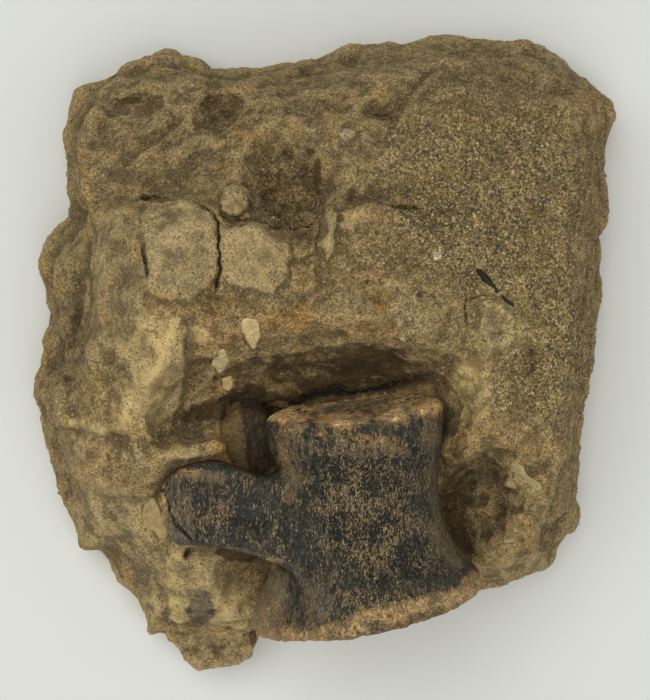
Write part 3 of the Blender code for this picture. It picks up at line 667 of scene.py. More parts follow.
boneShape = {
    "voxel": 0.42,
    "triangles": 190000,
    "joinGap": 0.25,
    "softenTimes": 26,
    "headLean": 2.5,  # mm by which the face of the head end leans out on its right
    "grainAlong": (1.4, 0.16),  # size and height of each layer of roughness
    "grainSqueeze": 0.22,  # the smaller, the longer its ridges
    "pores": (0.8, 0.10),
    "wornPits": (1.1, 0.45),
    "wornLumps": (3.2, 1.2),
    # height in mm above or below the smooth bone
    "webLip": 0.25,
    "webHollow": -1.6,
    "processHollow": -0.6,
    "tipCrack": -2.0,
    "tipCrackLip": 0.5,
}
headEnd = Vector((7.0, -13.9, 44.0))
tailEnd = Vector((10.3, -64.6, 39.0))
webEdge = ((215, 546), (245, 549), (262, 556), (280, 561), (292, 568), (300, 578), (308, 592), (316, 608),
           (322, 622), (326, 636))
outerEdge = ((242, 562), (249, 573), (255, 588), (257, 604), (255, 618), (262, 630), (275, 637), (292, 640))
tipCrack = ((161, 486), (164, 494), (166, 503), (168, 511), (173, 520), (183, 533), (193, 544))


def alongBone(points):
    # distance from the head end, measured with the slant of the tail end taken out
    axis = np.array(tailEnd - headEnd)
    length = np.linalg.norm(axis)
    place = (points - np.array(headEnd)) @ (axis / length)
    across = points[:, 0] - (headEnd.x + (tailEnd.x - headEnd.x) * place / length)
    return place + 0.15 * across * np.clip(place / length, 0, 1) ** 3, across, length


def makeBone():
    bone = copyOfNodes("bone", "centrum", "transverse_process")
    swell(bone, boneShape["joinGap"])
    remesh(bone, 2 * boneShape["voxel"])
    points = pointsOf(bone)
    x, y = asSeen(points)
    onFace, toRight, corner = ease((420 - y) / 12), ease((x - 275) / 80), 1 - 0.45 * ease((x - 380) / 60)
    points[:, 1] += boneShape["headLean"] * onFace * toRight * corner
    setPoints(bone, points)
    remesh(bone, boneShape["voxel"])
    soften(bone, boneShape["softenTimes"])
    swell(bone, -boneShape["joinGap"])
    points, normals = pointsOf(bone), normalsOf(bone)
    x, y = wavered(*asSeen(points))
    # a thin raised lip along the free edge of the web, hollows beside it, and the split tip of the process
    lift = boneShape["webLip"] * onLine(x, y, webEdge, 7.0, 26.0)
    lift += boneShape["webHollow"] * inPatch(x, y, (276, 598), (20, 32), 12, 0.6)
    lift += boneShape["processHollow"] * inPatch(x, y, (245, 508), (38, 22), 0, 0.8)
    lift += boneShape["tipCrack"] * onLine(x, y, tipCrack, 1.3)
    lift += boneShape["tipCrackLip"] * onLine(x, y, [(px + 4, py - 1) for px, py in tipCrack], 2.0)
    front = ease((normals[:, 2] + 0.2) / 0.5)
    points += normals * (lift * front)[:, None]
    setPoints(bone, points)
    worn = wornShare(bone)
    setGroup(bone, "worn", worn)
    setGroup(bone, "sound", 1 - worn)
    roughen(bone, "CLOUDS", *boneShape["wornLumps"], "worn", noise_depth=2)
    roughen(bone, "CLOUDS", *boneShape["wornPits"], "worn", middle=0.6,
            noise_basis="VORONOI_F1", noise_depth=1)
    grooveAlong(bone)
    roughen(bone, "CLOUDS", *boneShape["pores"], "sound", noise_depth=2)
    thin(bone, boneShape["triangles"])
    paintBone(bone)
    return bone


def grooveAlong(bone):
    # low ridges and grooves that run the length of the bone: the texture is read while it is squeezed short
    size, height = boneShape["grainAlong"]
    texture = bpy.data.textures.new("boneGrain", "CLOUDS")
    texture.noise_scale = size
    texture.noise_depth = 2
    squeeze = Matrix.Diagonal((1, boneShape["grainSqueeze"], 1, 1))
    bone.data.transform(squeeze)
    squeezed = pointsOf(bone)
    bone.data.transform(squeeze.inverted())
    points, normals = pointsOf(bone), normalsOf(bone)
    shift = np.array([texture.evaluate(Vector(place) * 0.5)[3] for place in squeezed]) - 0.5
    setPoints(bone, points + normals * (shift * height)[:, None])


def wornShare(bone):
    points = pointsOf(bone)
    x, y = wavered(*asSeen(points))
    place, _, length = alongBone(points)
    drift = 0.9 * np.sin(0.13 * x + 1.0) + 0.6 * np.sin(0.31 * x + 0.05 * y)
    head = ease((3.2 + drift - place) / 3.2)
    tail = ease((place - length + 7.0 + drift) / 4.5)
    tip = inPatch(x, y, (160, 512), (9, 38), -8, 0.4)
    return np.clip(np.maximum.reduce([head, tail, tip]), 0, 1)


boneMasks = {
    "flecked": (
        ((380, 520), (62, 78), 0, 1.0), ((310, 480), (30, 30), 0, 0.7), ((215, 505), (38, 22), 5, 0.8),
        ((250, 530), (14, 12), 0, 0.6), ((370, 600), (70, 16), -5, 0.9), ((432, 490), (14, 80), 0, 0.8),
        ((292, 470), (12, 50), 0, 0.7), ((330, 575), (25, 30), 0, 0.6),
    ),
    # painted sheen: a lighter grey-green where the smooth bone catches a reflection
    "paintedSheen": (
        ((255, 508), (26, 14), 0, 1.0), ((308, 540), (15, 20), 0, 0.9), ((318, 600), (16, 18), 0, 0.6),
        ((432, 500), (8, 72), 0, 0.8), ((225, 470), (22, 6), 5, 0.7),
    ),
    "tan": (
        ((286, 416), (27, 7), -3, 1.0), ((345, 417), (34, 7), 3, 0.95), ((388, 411), (17, 10), 0, 1.0),
        ((350, 405), (80, 7), -4, 0.7), ((422, 402), (25, 13), 0, 0.7), ((368, 440), (34, 7), 0, 0.5),
        ((320, 432), (10, 6), 0, 0.5), ((284, 450), (6, 26), 0, 0.55), ((188, 474), (17, 7), -5, 0.7),
        ((161, 500), (5, 22), -8, 0.9), ((342, 630), (26, 10), -5, 1.0), ((310, 636), (14, 6), 0, 0.9),
        ((385, 614), (44, 9), -9, 0.8), ((440, 600), (32, 10), -16, 1.0), ((471, 585), (16, 12), -40, 0.9),
        ((292, 634), (10, 5), 0, 0.9), ((270, 564), (10, 5), 0, 0.8), ((272, 612), (10, 16), 0, 0.4),
    ),
    # the worn pale crest of the head end, lightened further by a painted highlight
    "wornCrestHighlight": (
        ((286, 416), (27, 8), -3, 1.0), ((345, 418), (34, 8), 3, 0.9), ((388, 412), (17, 10), 0, 0.9),
        ((425, 404), (22, 12), 0, 0.6), ((350, 402), (90, 12), -4, 0.5), ((268, 598), (20, 38), 4, 0.3),
    ),
    "blackened": (
        ((362, 500), (46, 62), 0, 1.0), ((345, 462), (34, 26), 0, 0.8), ((398, 560), (42, 22), -10, 0.9),
        ((250, 514), (28, 15), 0, 0.8), ((210, 470), (24, 6), 5, 0.6), ((188, 520), (12, 20), -20, 0.5),
        ((315, 440), (22, 12), 0, 0.5), ((410, 470), (16, 40), 0, 0.6), ((300, 520), (20, 30), 0, 0.35),
    ),
    "umber": (
        ((268, 600), (22, 40), 4, 1.0), ((262, 575), (14, 12), 30, 0.7), ((200, 476), (30, 7), 0, 0.6),
        ((292, 470), (9, 44), 0, 0.6), ((180, 500), (16, 24), 0, 0.5), ((430, 425), (10, 30), 0, 0.7),
        ((450, 545), (14, 24), -30, 0.6), ((345, 448), (60, 10), 0, 0.5),
    ),
    "mauve": (
        ((318, 602), (18, 22), 0, 0.8), ((436, 480), (8, 80), 0, 0.6), ((178, 525), (14, 22), -25, 0.9),
        ((420, 405), (28, 14), 0, 0.8), ((455, 555), (16, 18), 0, 0.5),
    ),
}


def paintBone(bone):
    x, y = wavered(*asSeen(pointsOf(bone)))
    for name, places in boneMasks.items():
        setMask(bone, name, patches(x, y, places))
    setMask(bone, "worn", wornShare(bone))
    # how far each place stands out, for painted shade and light below
    setMask(bone, "raised", 0.5 + relief(bone, 8) / 0.35)
    # the end faces inside their rims
    place, across, length = alongBone(pointsOf(bone))
    axisHeight = headEnd.z + (tailEnd.z - headEnd.z) * place / length
    fromAxis = np.hypot(across, pointsOf(bone)[:, 2] - axisHeight)
    pastEnd = np.abs(place - length / 2) - length / 2
    setMask(bone, "endFace", ease((pastEnd + 2.5) / 2) * ease((13 - fromAxis) / 6))
    edges = np.maximum(onLine(x, y, webEdge, 1.4, 26.0), onLine(x, y, outerEdge, 1.8, 10.0))
    setMask(bone, "webEdge", edges)
    setMask(bone, "split", onLine(x, y, tipCrack, 2.0))


# the broken root of the arch
stumpShape = {
    "swell": 0.9,  # mm
    "voxel": 0.3,
    "widen": (1.6, 1.2),  # so that it fills the pocket beside the process
    "shift": 0.6,
    "topDrop": 6.0,  # below its highest point
    "topSlope": 0.5,  # down towards the notch of the bone
    "lumps": (4.5, 1.0),
    "grit": (1.1, 0.45),
}


def makeArchStump():
    stump = copyOfNodes("archStump", "neural_arch_stump")
    swell(stump, stumpShape["swell"])
    remesh(stump, stumpShape["voxel"])
    soften(stump, 3)
    points = pointsOf(stump)
    middle = points.mean(axis=0)
    wide, long = stumpShape["widen"]
    points[:, 0] = middle[0] + stumpShape["shift"] + (points[:, 0] - middle[0]) * wide
    points[:, 1] = middle[1] + (points[:, 1] - middle[1]) * long
    away = (points[:, 0] - middle[0] - points[:, 1] + middle[1]) / math.sqrt(2)
    top = points[:, 2].max() - stumpShape["topDrop"] - stumpShape["topSlope"] * away
    points[:, 2] = np.where(points[:, 2] > top, top + (points[:, 2] - top) * 0.15, points[:, 2])
    setPoints(stump, points)
    roughen(stump, "CLOUDS", *stumpShape["lumps"], noise_depth=2)
    roughen(stump, "CLOUDS", *stumpShape["grit"], noise_depth=2)
    # how far each place stands out, for the painted shade in its hollows
    setMask(stump, "raised", 0.5 + relief(stump, 6) / 0.4)
    x, y = asSeen(pointsOf(stump))
    setMask(stump, "caked", ease((245 + 0.12 * (y - 445) - x) / 7 + 0.5))
    return stump


# Stones and plant

clastShape = {
    "thickness": 3,  # mm
    "voxel": 0.2,
    "lumps": (1.8, 0.35, 0.25),  # size, height and the further height for each mm that it stands out
    "grit": (0.6, 0.2),
}

# node, how far it stands out in mm, width of its rounded edge and its outline in the picture
clasts = {
    "ridgeClast": ("clast_ridge", 0.7, 3, (
        (245, 318), (257, 319), (260, 328), (260, 336), (255, 347), (252, 350), (247, 343),
        (242, 332), (241, 322))),
    "upperRecessClast": ("clast_recess_upper", 0.7, 3, (
        (219, 351), (225, 349), (228, 355), (229, 360), (223, 370), (217, 374), (214, 368),
        (210, 366), (213, 358))),
    "lowerRecessClast": ("clast_recess_lower", 0.6, 3, (
        (222, 378), (231, 375), (234, 380), (232, 388), (228, 391), (222, 389))),
    "lowerRightClast": ("clast_lower_right", 0.6, 4, (
        (511, 463), (517, 463), (523, 466), (526, 473), (531, 478), (539, 482), (543, 488),
        (538, 492), (530, 490),
        (520, 492), (512, 490), (508, 488), (511, 477))),
    "processTipClast": ("clast_process_tip", 0.25, 7, (
        (148, 498), (154, 497), (159, 504), (161, 512), (163, 522), (164, 536), (159, 541),
        (152, 531), (143, 527),
        (141, 516), (144, 505))),
    "ridgePebble": ("pebble", 2.6, 14, (
        (225, 184), (236, 181), (247, 187), (250, 197), (247, 207), (241, 214), (230, 216),
        (222, 210), (220, 201),
        (222, 191))),
}


def makeClast(name, rockTree):
    # a chip cut to its outline and laid level with the ground round it
    node, rise, edge, outline = clasts[name]
    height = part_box(node)[1].z / mm
    thickness = clastShape["thickness"]
    bm = bmesh.new()
    bmesh.ops.create_circle(bm, cap_ends=True, segments=len(outline), radius=1)
    for vert, (px, py) in zip(bm.verts, outline):
        vert.co = fromPicture(px, py, height)
    sunk = bmesh.ops.extrude_face_region(bm, geom=bm.faces[:])["geom"]
    below = [v for v in sunk if isinstance(v, bmesh.types.BMVert)]
    bmesh.ops.translate(bm, verts=below, vec=(0, 0, -thickness))
    bmesh.ops.recalc_face_normals(bm, faces=bm.faces)
    clast = meshObject(bm, name)
    remesh(clast, clastShape["voxel"])
    soften(clast, 4)
    points = pointsOf(clast)
    plan = np.column_stack((points[:, :2], np.ones(len(points))))
    hits = [rockTree.ray_cast(Vector((x, y, 100)), Vector((0, 0, -1)))[0] for x, y in points[::9, :2]]
    ground = plan @ np.linalg.lstsq(plan[::9], np.array([hit.z for hit in hits]), rcond=None)[0]
    inward = insideOutline(*asSeen(points), outline)
    dome = 0.3 + rise * np.sqrt(1 - (1 - np.clip(inward / edge, 0, 1)) ** 2)
    fromTop = points[:, 2] - height
    points[:, 2] = ground + fromTop + dome * np.clip((fromTop + thickness) / thickness, 0, 1)
    setPoints(clast, points)
    size, least, further = clastShape["lumps"]
    roughen(clast, "CLOUDS", size, least + further * rise, noise_depth=2)
    roughen(clast, "CLOUDS", *clastShape["grit"], noise_depth=1)
    setMask(clast, "raised", 0.5 + relief(clast, 6) / 0.3)
    return clast


plantShape = {
    "voxel": 0.16,
    "swell": 0.32,
    "lumps": (1.6, 0.5),
    "crazing": (0.5, 0.15),
}


def makePlant():
    plant = copyOfNodes("plantFragment", "plant_fragment")
    remesh(plant, plantShape["voxel"])
    soften(plant, 3)
    swell(plant, plantShape["swell"])
    roughen(plant, "CLOUDS", *plantShape["lumps"], noise_depth=2)
    roughen(plant, "CLOUDS", *plantShape["crazing"], noise_basis="VORONOI_CRACKLE")
    return plant


# Shader groups

def addNode(tree, kind, **values):
    node = tree.nodes.new(kind)
    for name, value in values.items():
        if hasattr(node, name):
            setattr(node, name, value)
        else:
            node.inputs[name.replace("_", " ")].default_value = value
    return node


def newGroup(name, inputs, outputs):
    group = bpy.data.node_groups.new(name, "ShaderNodeTree")
    for label, kind, value in inputs:
        socket = group.interface.new_socket(label, in_out="INPUT", socket_type=kind)
        if value is not None:
            socket.default_value = value
    for label, kind in outputs:
        group.interface.new_socket(label, in_out="OUTPUT", socket_type=kind)
    return group, group.nodes.new("NodeGroupInput"), group.nodes.new("NodeGroupOutput")


def maths(tree, operation, a, b=None, clamp=False):
    node = tree.nodes.new("ShaderNodeMath")
    node.operation = operation
    node.use_clamp = clamp
    for socket, value in zip(node.inputs, (a, b)):
        if value is None:
            continue
        if isinstance(value, (int, float)):
            socket.default_value = value
        else:
            tree.links.new(value, socket)
    return node.outputs[0]


def times(tree, a, b):
    return maths(tree, "MULTIPLY", a, b)


def plus(tree, a, b):
    return maths(tree, "ADD", a, b)


def ramp(tree, value, low, high, start=0.0, end=1.0):
    node = tree.nodes.new("ShaderNodeMapRange")
    node.interpolation_type = "SMOOTHSTEP"
    tree.links.new(value, node.inputs["Value"])
    for name, setting in (("From Min", low), ("From Max", high), ("To Min", start), ("To Max", end)):
        if isinstance(setting, (int, float)):
            node.inputs[name].default_value = setting
        else:
            tree.links.new(setting, node.inputs[name])
    return node.outputs["Result"]


def mix(tree, share, a, b, blend="MIX"):
    node = tree.nodes.new("ShaderNodeMix")
    node.data_type = "RGBA"
    node.blend_type = blend
    for socket, value in ((node.inputs[0], share), (node.inputs[6], a), (node.inputs[7], b)):
        if isinstance(value, (int, float)):
            socket.default_value = value
        elif isinstance(value, tuple):
            socket.default_value = (*value, 1.0)
        else:
            tree.links.new(value, socket)
    return node.outputs[2]


def noise(tree, vector, scale, detail=3.0, roughness=0.55, output="Fac"):
    node = tree.nodes.new("ShaderNodeTexNoise")
    tree.links.new(vector, node.inputs["Vector"])
    node.inputs["Detail"].default_value = detail
    node.inputs["Roughness"].default_value = roughness
    if isinstance(scale, (int, float)):
        node.inputs["Scale"].default_value = scale
    else:
        tree.links.new(scale, node.inputs["Scale"])
    return node.outputs[output]


def cells(tree, vector, scale, feature="F1", output="Distance", randomness=1.0):
    node = tree.nodes.new("ShaderNodeTexVoronoi")
    node.feature = feature
    tree.links.new(vector, node.inputs["Vector"])
    node.inputs["Randomness"].default_value = randomness
    if isinstance(scale, (int, float)):
        node.inputs["Scale"].default_value = scale
    else:
        tree.links.new(scale, node.inputs["Scale"])
    return node.outputs[output]


def drawnOut(tree, vector, squeeze):
    # places squeezed along the bone, so that what is read there comes out long
    node = addNode(tree, "ShaderNodeVectorMath", operation="MULTIPLY")
    node.inputs[1].default_value = (1.0, squeeze, 1.0)
    tree.links.new(vector, node.inputs[0])
    return node.outputs[0]


def toned(tree, colour, tone):
    # the colour darker or lighter by a factor
    grey = addNode(tree, "ShaderNodeCombineColor")
    for socket in grey.inputs:
        tree.links.new(tone, socket)
    return mix(tree, 1.0, colour, grey.outputs[0], "MULTIPLY")


def makeGrainGroup():
    # sand grains: a tone for each, the share of dark and light ones, and their rounded tops
    group, given, result = newGroup(
        "sandGrains",
        (("Vector", "NodeSocketVector", None), ("Grains per mm", "NodeSocketFloat", 1.8),
         ("Dark share", "NodeSocketFloat", 0.2), ("Light share", "NodeSocketFloat", 0.2)),
        (("Tone", "NodeSocketFloat"), ("Dark", "NodeSocketFloat"), ("Light", "NodeSocketFloat"),
         ("Height", "NodeSocketFloat")),
    )
    vector, perMm = given.outputs["Vector"], given.outputs["Grains per mm"]
    wobble = addNode(group, "ShaderNodeVectorMath", operation="ADD")
    drift = addNode(group, "ShaderNodeVectorMath", operation="SCALE")
    group.links.new(noise(group, vector, 1.3, 1, 0.5, "Color"), drift.inputs[0])
    drift.inputs["Scale"].default_value = 0.35
    group.links.new(vector, wobble.inputs[0])
    group.links.new(drift.outputs[0], wobble.inputs[1])
    moved = wobble.outputs[0]
    split = addNode(group, "ShaderNodeSeparateColor")
    group.links.new(cells(group, moved, perMm, output="Color"), split.inputs[0])
    distance = cells(group, moved, perMm)
    core = ramp(group, distance, 0.62, 0.4)
    pick = split.outputs[1]
    dark = maths(group, "LESS_THAN", pick, given.outputs["Dark share"])
    light = maths(group, "GREATER_THAN", pick, maths(group, "SUBTRACT", 1.0, given.outputs["Light share"]))
    group.links.new(split.outputs[0], result.inputs["Tone"])
    group.links.new(times(group, dark, core), result.inputs["Dark"])
    group.links.new(times(group, light, core), result.inputs["Light"])
    group.links.new(maths(group, "SUBTRACT", 1.0, distance), result.inputs["Height"])
    return group


def makeBreakGroup():
    # frays the edge of a painted mask with noise
    group, given, result = newGroup(
        "frayedMask",
        (("Vector", "NodeSocketVector", None), ("Mask", "NodeSocketFloat", 0.0),
         ("Scale", "NodeSocketFloat", 0.3), ("Fray", "NodeSocketFloat", 0.6)),
        (("Mask", "NodeSocketFloat"),),
    )
    speckle = noise(group, given.outputs["Vector"], given.outputs["Scale"], 6, 0.65)
    push = times(group, maths(group, "SUBTRACT", speckle, 0.5), given.outputs["Fray"])
    pushed = plus(group, given.outputs["Mask"], times(group, push, 4.0))
    within = maths(group, "MINIMUM", times(group, given.outputs["Mask"], 6.0), 1.0)
    limited = times(group, ramp(group, pushed, 0.25, 0.85), within)
    group.links.new(limited, result.inputs["Mask"])
    return group


def makeFleckGroup():
    # short flecks of lighter mineral that lie along the bone
    group, given, result = newGroup(
        "boneFlecks",
        (("Vector", "NodeSocketVector", None), ("Flecks per mm", "NodeSocketFloat", 1.6),
         ("Cover", "NodeSocketFloat", 0.4)),
        (("Mask", "NodeSocketFloat"), ("Tone", "NodeSocketFloat")),
    )
    along, perMm = drawnOut(group, given.outputs["Vector"], 0.42), given.outputs["Flecks per mm"]
    streak = noise(group, along, perMm, 3, 0.6)
    finer = noise(group, along, times(group, perMm, 2.1), 2, 0.6)
    both = plus(group, times(group, streak, 0.65), times(group, finer, 0.35))
    threshold = maths(group, "SUBTRACT", 0.68, times(group, given.outputs["Cover"], 0.2))
    upper = plus(group, threshold, 0.03)
    group.links.new(ramp(group, both, threshold, upper), result.inputs["Mask"])
    group.links.new(finer, result.inputs["Tone"])
    return group


sandGrains = makeGrainGroup()
frayedMask = makeBreakGroup()
boneFlecks = makeFleckGroup()


def useGroup(tree, group, **inputs):
    node = tree.nodes.new("ShaderNodeGroup")
    node.node_tree = group
    for name, value in inputs.items():
        socket = node.inputs[name.replace("_", " ")]
        if isinstance(value, (int, float)):
            socket.default_value = value
        else:
            tree.links.new(value, socket)
    return node


def startMaterial(name, roughness):
    material = bpy.data.materials.new(name)
    material.use_nodes = True
    tree = material.node_tree
    shader = tree.nodes["Principled BSDF"]
    shader.inputs["Roughness"].default_value = roughness
    coords = tree.nodes.new("ShaderNodeTexCoord")
    inMm = addNode(tree, "ShaderNodeVectorMath", operation="SCALE")
    inMm.inputs["Scale"].default_value = 1 / mm
    tree.links.new(coords.outputs["Object"], inMm.inputs[0])
    return material, tree, shader, inMm.outputs[0]


def attribute(tree, name):
    return addNode(tree, "ShaderNodeAttribute", attribute_name=name).outputs["Fac"]


def frayed(tree, vector, mask, scale, fray):
    node = useGroup(tree, frayedMask, Vector=vector, Mask=attribute(tree, mask), Scale=scale, Fray=fray)
    return node.outputs[0]


def stainAndShade(tree, colour, vector, mask, target, strength, scale=0, fray=0):
    # lays the target colour where the mask is, with a frayed edge if a scale is given
    share = frayed(tree, vector, mask, scale, fray) if scale else attribute(tree, mask)
    return mix(tree, times(tree, share, strength), colour, target)


def addBump(tree, shader, height, depth):
    bump = tree.nodes.new("ShaderNodeBump")
    bump.inputs["Strength"].default_value = 1.0
    bump.inputs["Distance"].default_value = depth * mm
    tree.links.new(height, bump.inputs["Height"])
    tree.links.new(bump.outputs["Normal"], shader.inputs["Normal"])


# Materials

rockLook = {
    "brown": (0.335, 0.216, 0.080),
    "olive": (0.320, 0.230, 0.090),
    "greyCap": (0.375, 0.282, 0.136),
    "grey": (0.345, 0.262, 0.138),
    "warm": (0.335, 0.196, 0.064),
    "sand": (0.390, 0.284, 0.100),
    "pale": (0.500, 0.362, 0.148),
    "rust": (0.340, 0.180, 0.040),
    # painted shade
    "paintedShade": (0.262, 0.186, 0.078),
    # stain with painted shade, laid by the dark mask
    "stainAndShade": (0.054, 0.029, 0.006),
    "maroon": (0.150, 0.088, 0.052),
    "smudge": (0.110, 0.092, 0.056),
    "white": (0.540, 0.480, 0.340),
    # dark grains, and the painted shade in the cracks
    "darkGrainAndShade": (0.030, 0.024, 0.016),
    "blueGrain": (0.050, 0.052, 0.042),
    "lightGrain": (0.66, 0.52, 0.28),
    "roughness": 0.93,
    "grainsPerMm": 2.0,
    # how dark and how light each kind of unevenness makes it
    "mottleTone": (0.94, 1.06),
    "patchTone": (0.88, 1.12),
    "gritTone": (0.50, 1.50),
    # raisedTone and standingTone paint shade into hollows and light onto ridges
    "raisedTone": (0.66, 1.24),
    "standingTone": (0.82, 1.12),
    "bump": 0.55,  # mm
}

# mask, the colour laid there, its strength, and how finely and how far its edge is frayed
rockStainsAndShade = {
    "smoothStone": ("greyCap", 0.6, 0.35, 0.5),
    "sandy": ("sand", 1.0, 0.25, 0.5),
    "pale": ("pale", 0.75, 0.25, 0.4),
    "rust": ("rust", 0.72, 0.5, 0.9),
    "paintedShade": ("paintedShade", 0.5),
    # painted shade
    "smudge": ("smudge", 0.8, 0.9, 0.6),
    "maroon": ("maroon", 0.5, 0.6, 0.9),
    "white": ("white", 0.8, 0.9, 0.7),
}
# laid last: dark stains with painted shade, and painted shade along the deeper cracks
darkStainsAndShade = {
    "dark": ("stainAndShade", 0.84, 0.3, 0.7),
    "crack": ("darkGrainAndShade", 1.0, 0.9, 0.35),
}
looseSandStainsAndShade = {
    "dark": darkStainsAndShade["dark"],
    "pale": ("pale", 0.5),
    "rust": ("rust", 0.45),
    # painted shade
    "paintedShade": ("paintedShade", 0.3),
}


def stainAndShadeRock(tree, colour, vector, stains):
    for mask, (target, *settings) in stains.items():
        colour = stainAndShade(tree, colour, vector, mask, rockLook[target], *settings)
    return colour


def makeRockMaterial():
    material, tree, shader, vector = startMaterial("sandstone", rockLook["roughness"])
    sandyShare = attribute(tree, "sandy")
    broad = noise(tree, vector, 0.045, 4, 0.6)
    mottle = noise(tree, vector, 0.2, 6, 0.65)
    patchy = noise(tree, vector, 0.6, 3, 0.6)
    grit = noise(tree, vector, 1.9, 4, 0.8)
    colour = mix(tree, ramp(tree, broad, 0.35, 0.65), rockLook["brown"], rockLook["olive"])
    clouds = noise(tree, vector, 0.13, 5, 0.7)
    cloudy = ramp(tree, attribute(tree, "smoothStone"), 0, 1, 0.7, 0.3)
    greyShare = times(tree, ramp(tree, clouds, 0.48, 0.66), cloudy)
    warmShare = times(tree, ramp(tree, clouds, 0.46, 0.3), cloudy)
    colour = mix(tree, greyShare, colour, rockLook["grey"])
    colour = mix(tree, warmShare, colour, rockLook["warm"])
    colour = stainAndShadeRock(tree, colour, vector, rockStainsAndShade)
    grains = useGroup(
        tree, sandGrains, Vector=vector, Grains_per_mm=rockLook["grainsPerMm"],
        Dark_share=ramp(tree, sandyShare, 0, 1, 0.05, 0.18),
        Light_share=ramp(tree, sandyShare, 0, 1, 0.05, 0.16),
    )
    tone = ramp(tree, mottle, 0.25, 0.75, *rockLook["mottleTone"])
    tone = times(tree, tone, ramp(tree, patchy, 0.3, 0.7, *rockLook["patchTone"]))
    tone = times(tree, tone, ramp(tree, grit, 0.40, 0.60, *rockLook["gritTone"]))
    spread = ramp(tree, sandyShare, 0, 1, 0.25, 0.8)
    ownTone = times(tree, maths(tree, "SUBTRACT", grains.outputs["Tone"], 0.5), spread)
    tone = times(tree, tone, plus(tree, 1.0, ownTone))
    # clay-smooth places are calmer than the bare sand
    clayey = frayed(tree, vector, "pale", *rockStainsAndShade["pale"][2:])
    calm = maths(tree, "MAXIMUM", clayey, times(tree, attribute(tree, "smoothStone"), 0.5))
    calm = maths(tree, "SUBTRACT", 1.0, times(tree, calm, 0.7))
    tone = plus(tree, 1.0, times(tree, maths(tree, "SUBTRACT", tone, 1.0), calm))
    # painted shade in the hollows and painted light on the ridges
    tone = times(tree, tone, ramp(tree, attribute(tree, "raised"), 0.1, 0.9, *rockLook["raisedTone"]))
    tone = times(tree, tone, ramp(tree, attribute(tree, "standing"), 0.1, 0.9, *rockLook["standingTone"]))
    colour = toned(tree, colour, tone)
    colour = mix(tree, times(tree, grains.outputs["Light"], 0.55), colour, rockLook["lightGrain"])
    colour = mix(tree, times(tree, grains.outputs["Dark"], 0.8), colour, rockLook["blueGrain"])
    specks = ramp(tree, noise(tree, vector, 1.3, 4, 0.75), 0.66, 0.72)
    specks = times(tree, specks, times(tree, calm, calm))
    colour = mix(tree, specks, colour, rockLook["darkGrainAndShade"])
    colour = stainAndShadeRock(tree, colour, vector, darkStainsAndShade)
    tree.links.new(colour, shader.inputs["Base Color"])
    height = plus(tree, times(tree, grains.outputs["Height"], 0.4), grit)
    height = maths(tree, "SUBTRACT", times(tree, height, calm), times(tree, specks, 0.6))
    addBump(tree, shader, height, rockLook["bump"])
    return material


grainColours = (
    # share up to which a colour reaches, colour
    (0.00, (0.045, 0.048, 0.040)),
    (0.20, (0.120, 0.080, 0.036)),
    (0.36, (0.250, 0.170, 0.066)),
    (0.66, (0.360, 0.260, 0.115)),
    (0.88, (0.560, 0.460, 0.270)),
    (0.97, (0.360, 0.210, 0.070)),
)


def makeGrainMaterial():
    material, tree, shader, vector = startMaterial("looseSand", 0.8)
    palette = tree.nodes.new("ShaderNodeValToRGB")
    palette.color_ramp.interpolation = "CONSTANT"
    stops = palette.color_ramp.elements
    while len(stops) < len(grainColours):
        stops.new(0.5)
    for stop, (place, colour) in zip(stops, grainColours):
        stop.position = place
        stop.color = (*colour, 1)
    tree.links.new(attribute(tree, "tone"), palette.inputs["Fac"])
    mottle = ramp(tree, noise(tree, vector, 0.2, 5, 0.6), 0.3, 0.7)
    colour = mix(tree, mottle, rockLook["brown"], rockLook["greyCap"])
    share = ramp(tree, attribute(tree, "sandy"), 0, 1, 0.6, 0.9)
    colour = mix(tree, share, colour, palette.outputs["Color"])
    colour = stainAndShadeRock(tree, colour, vector, looseSandStainsAndShade)
    tree.links.new(colour, shader.inputs["Base Color"])
    addBump(tree, shader, noise(tree, vector, 4.0, 3, 0.6), 0.15)
    return material


boneLook = {
    "black": (0.0120, 0.0132, 0.0120),
    "body": (0.030, 0.029, 0.023),
    "brownish": (0.092, 0.077, 0.047),
    # painted sheen
    "paintedSheen": (0.037, 0.042, 0.039),
    "mauve": (0.180, 0.148, 0.096),
    "umber": (0.260, 0.182, 0.098),
    "dullFleck": (0.180, 0.130, 0.064),
    "fleck": (0.520, 0.360, 0.160),
    "rim": (0.340, 0.222, 0.098),
    "rimLight": (0.620, 0.440, 0.220),
    "rimRust": (0.500, 0.255, 0.075),
    "rimDark": (0.120, 0.085, 0.048),
    "endFace": (0.120, 0.086, 0.046),
    # painted shade
    "creviceShade": (0.014, 0.011, 0.007),
    "edge": (0.26, 0.20, 0.13),
    "wornCrestHighlight": 2.1,  # how much lighter the crest of the head end is
    "roughness": (0.6, 0.9),  # of sound and of worn bone
    "flecksPerMm": 2.7,
    # how dark and how light each kind of unevenness makes it
    "fibreTone": (0.35, 1.65),
    "gritTone": (0.4, 1.6),
    "raisedTone": (0.7, 1.2),
    "bump": 0.45,  # mm
}

# mask, the colour laid there, its strength, how finely and how far its edge is frayed, whether along the bone
boneStains = {
    "blackened": ("black", 0.9, 0.8, 0.8, True),
    "paintedSheen": ("paintedSheen", 0.8, 0.3, 0.5, False),
    "mauve": ("mauve", 0.5, 0.7, 0.7, True),
    "umber": ("umber", 0.6, 0.7, 0.7, True),
}


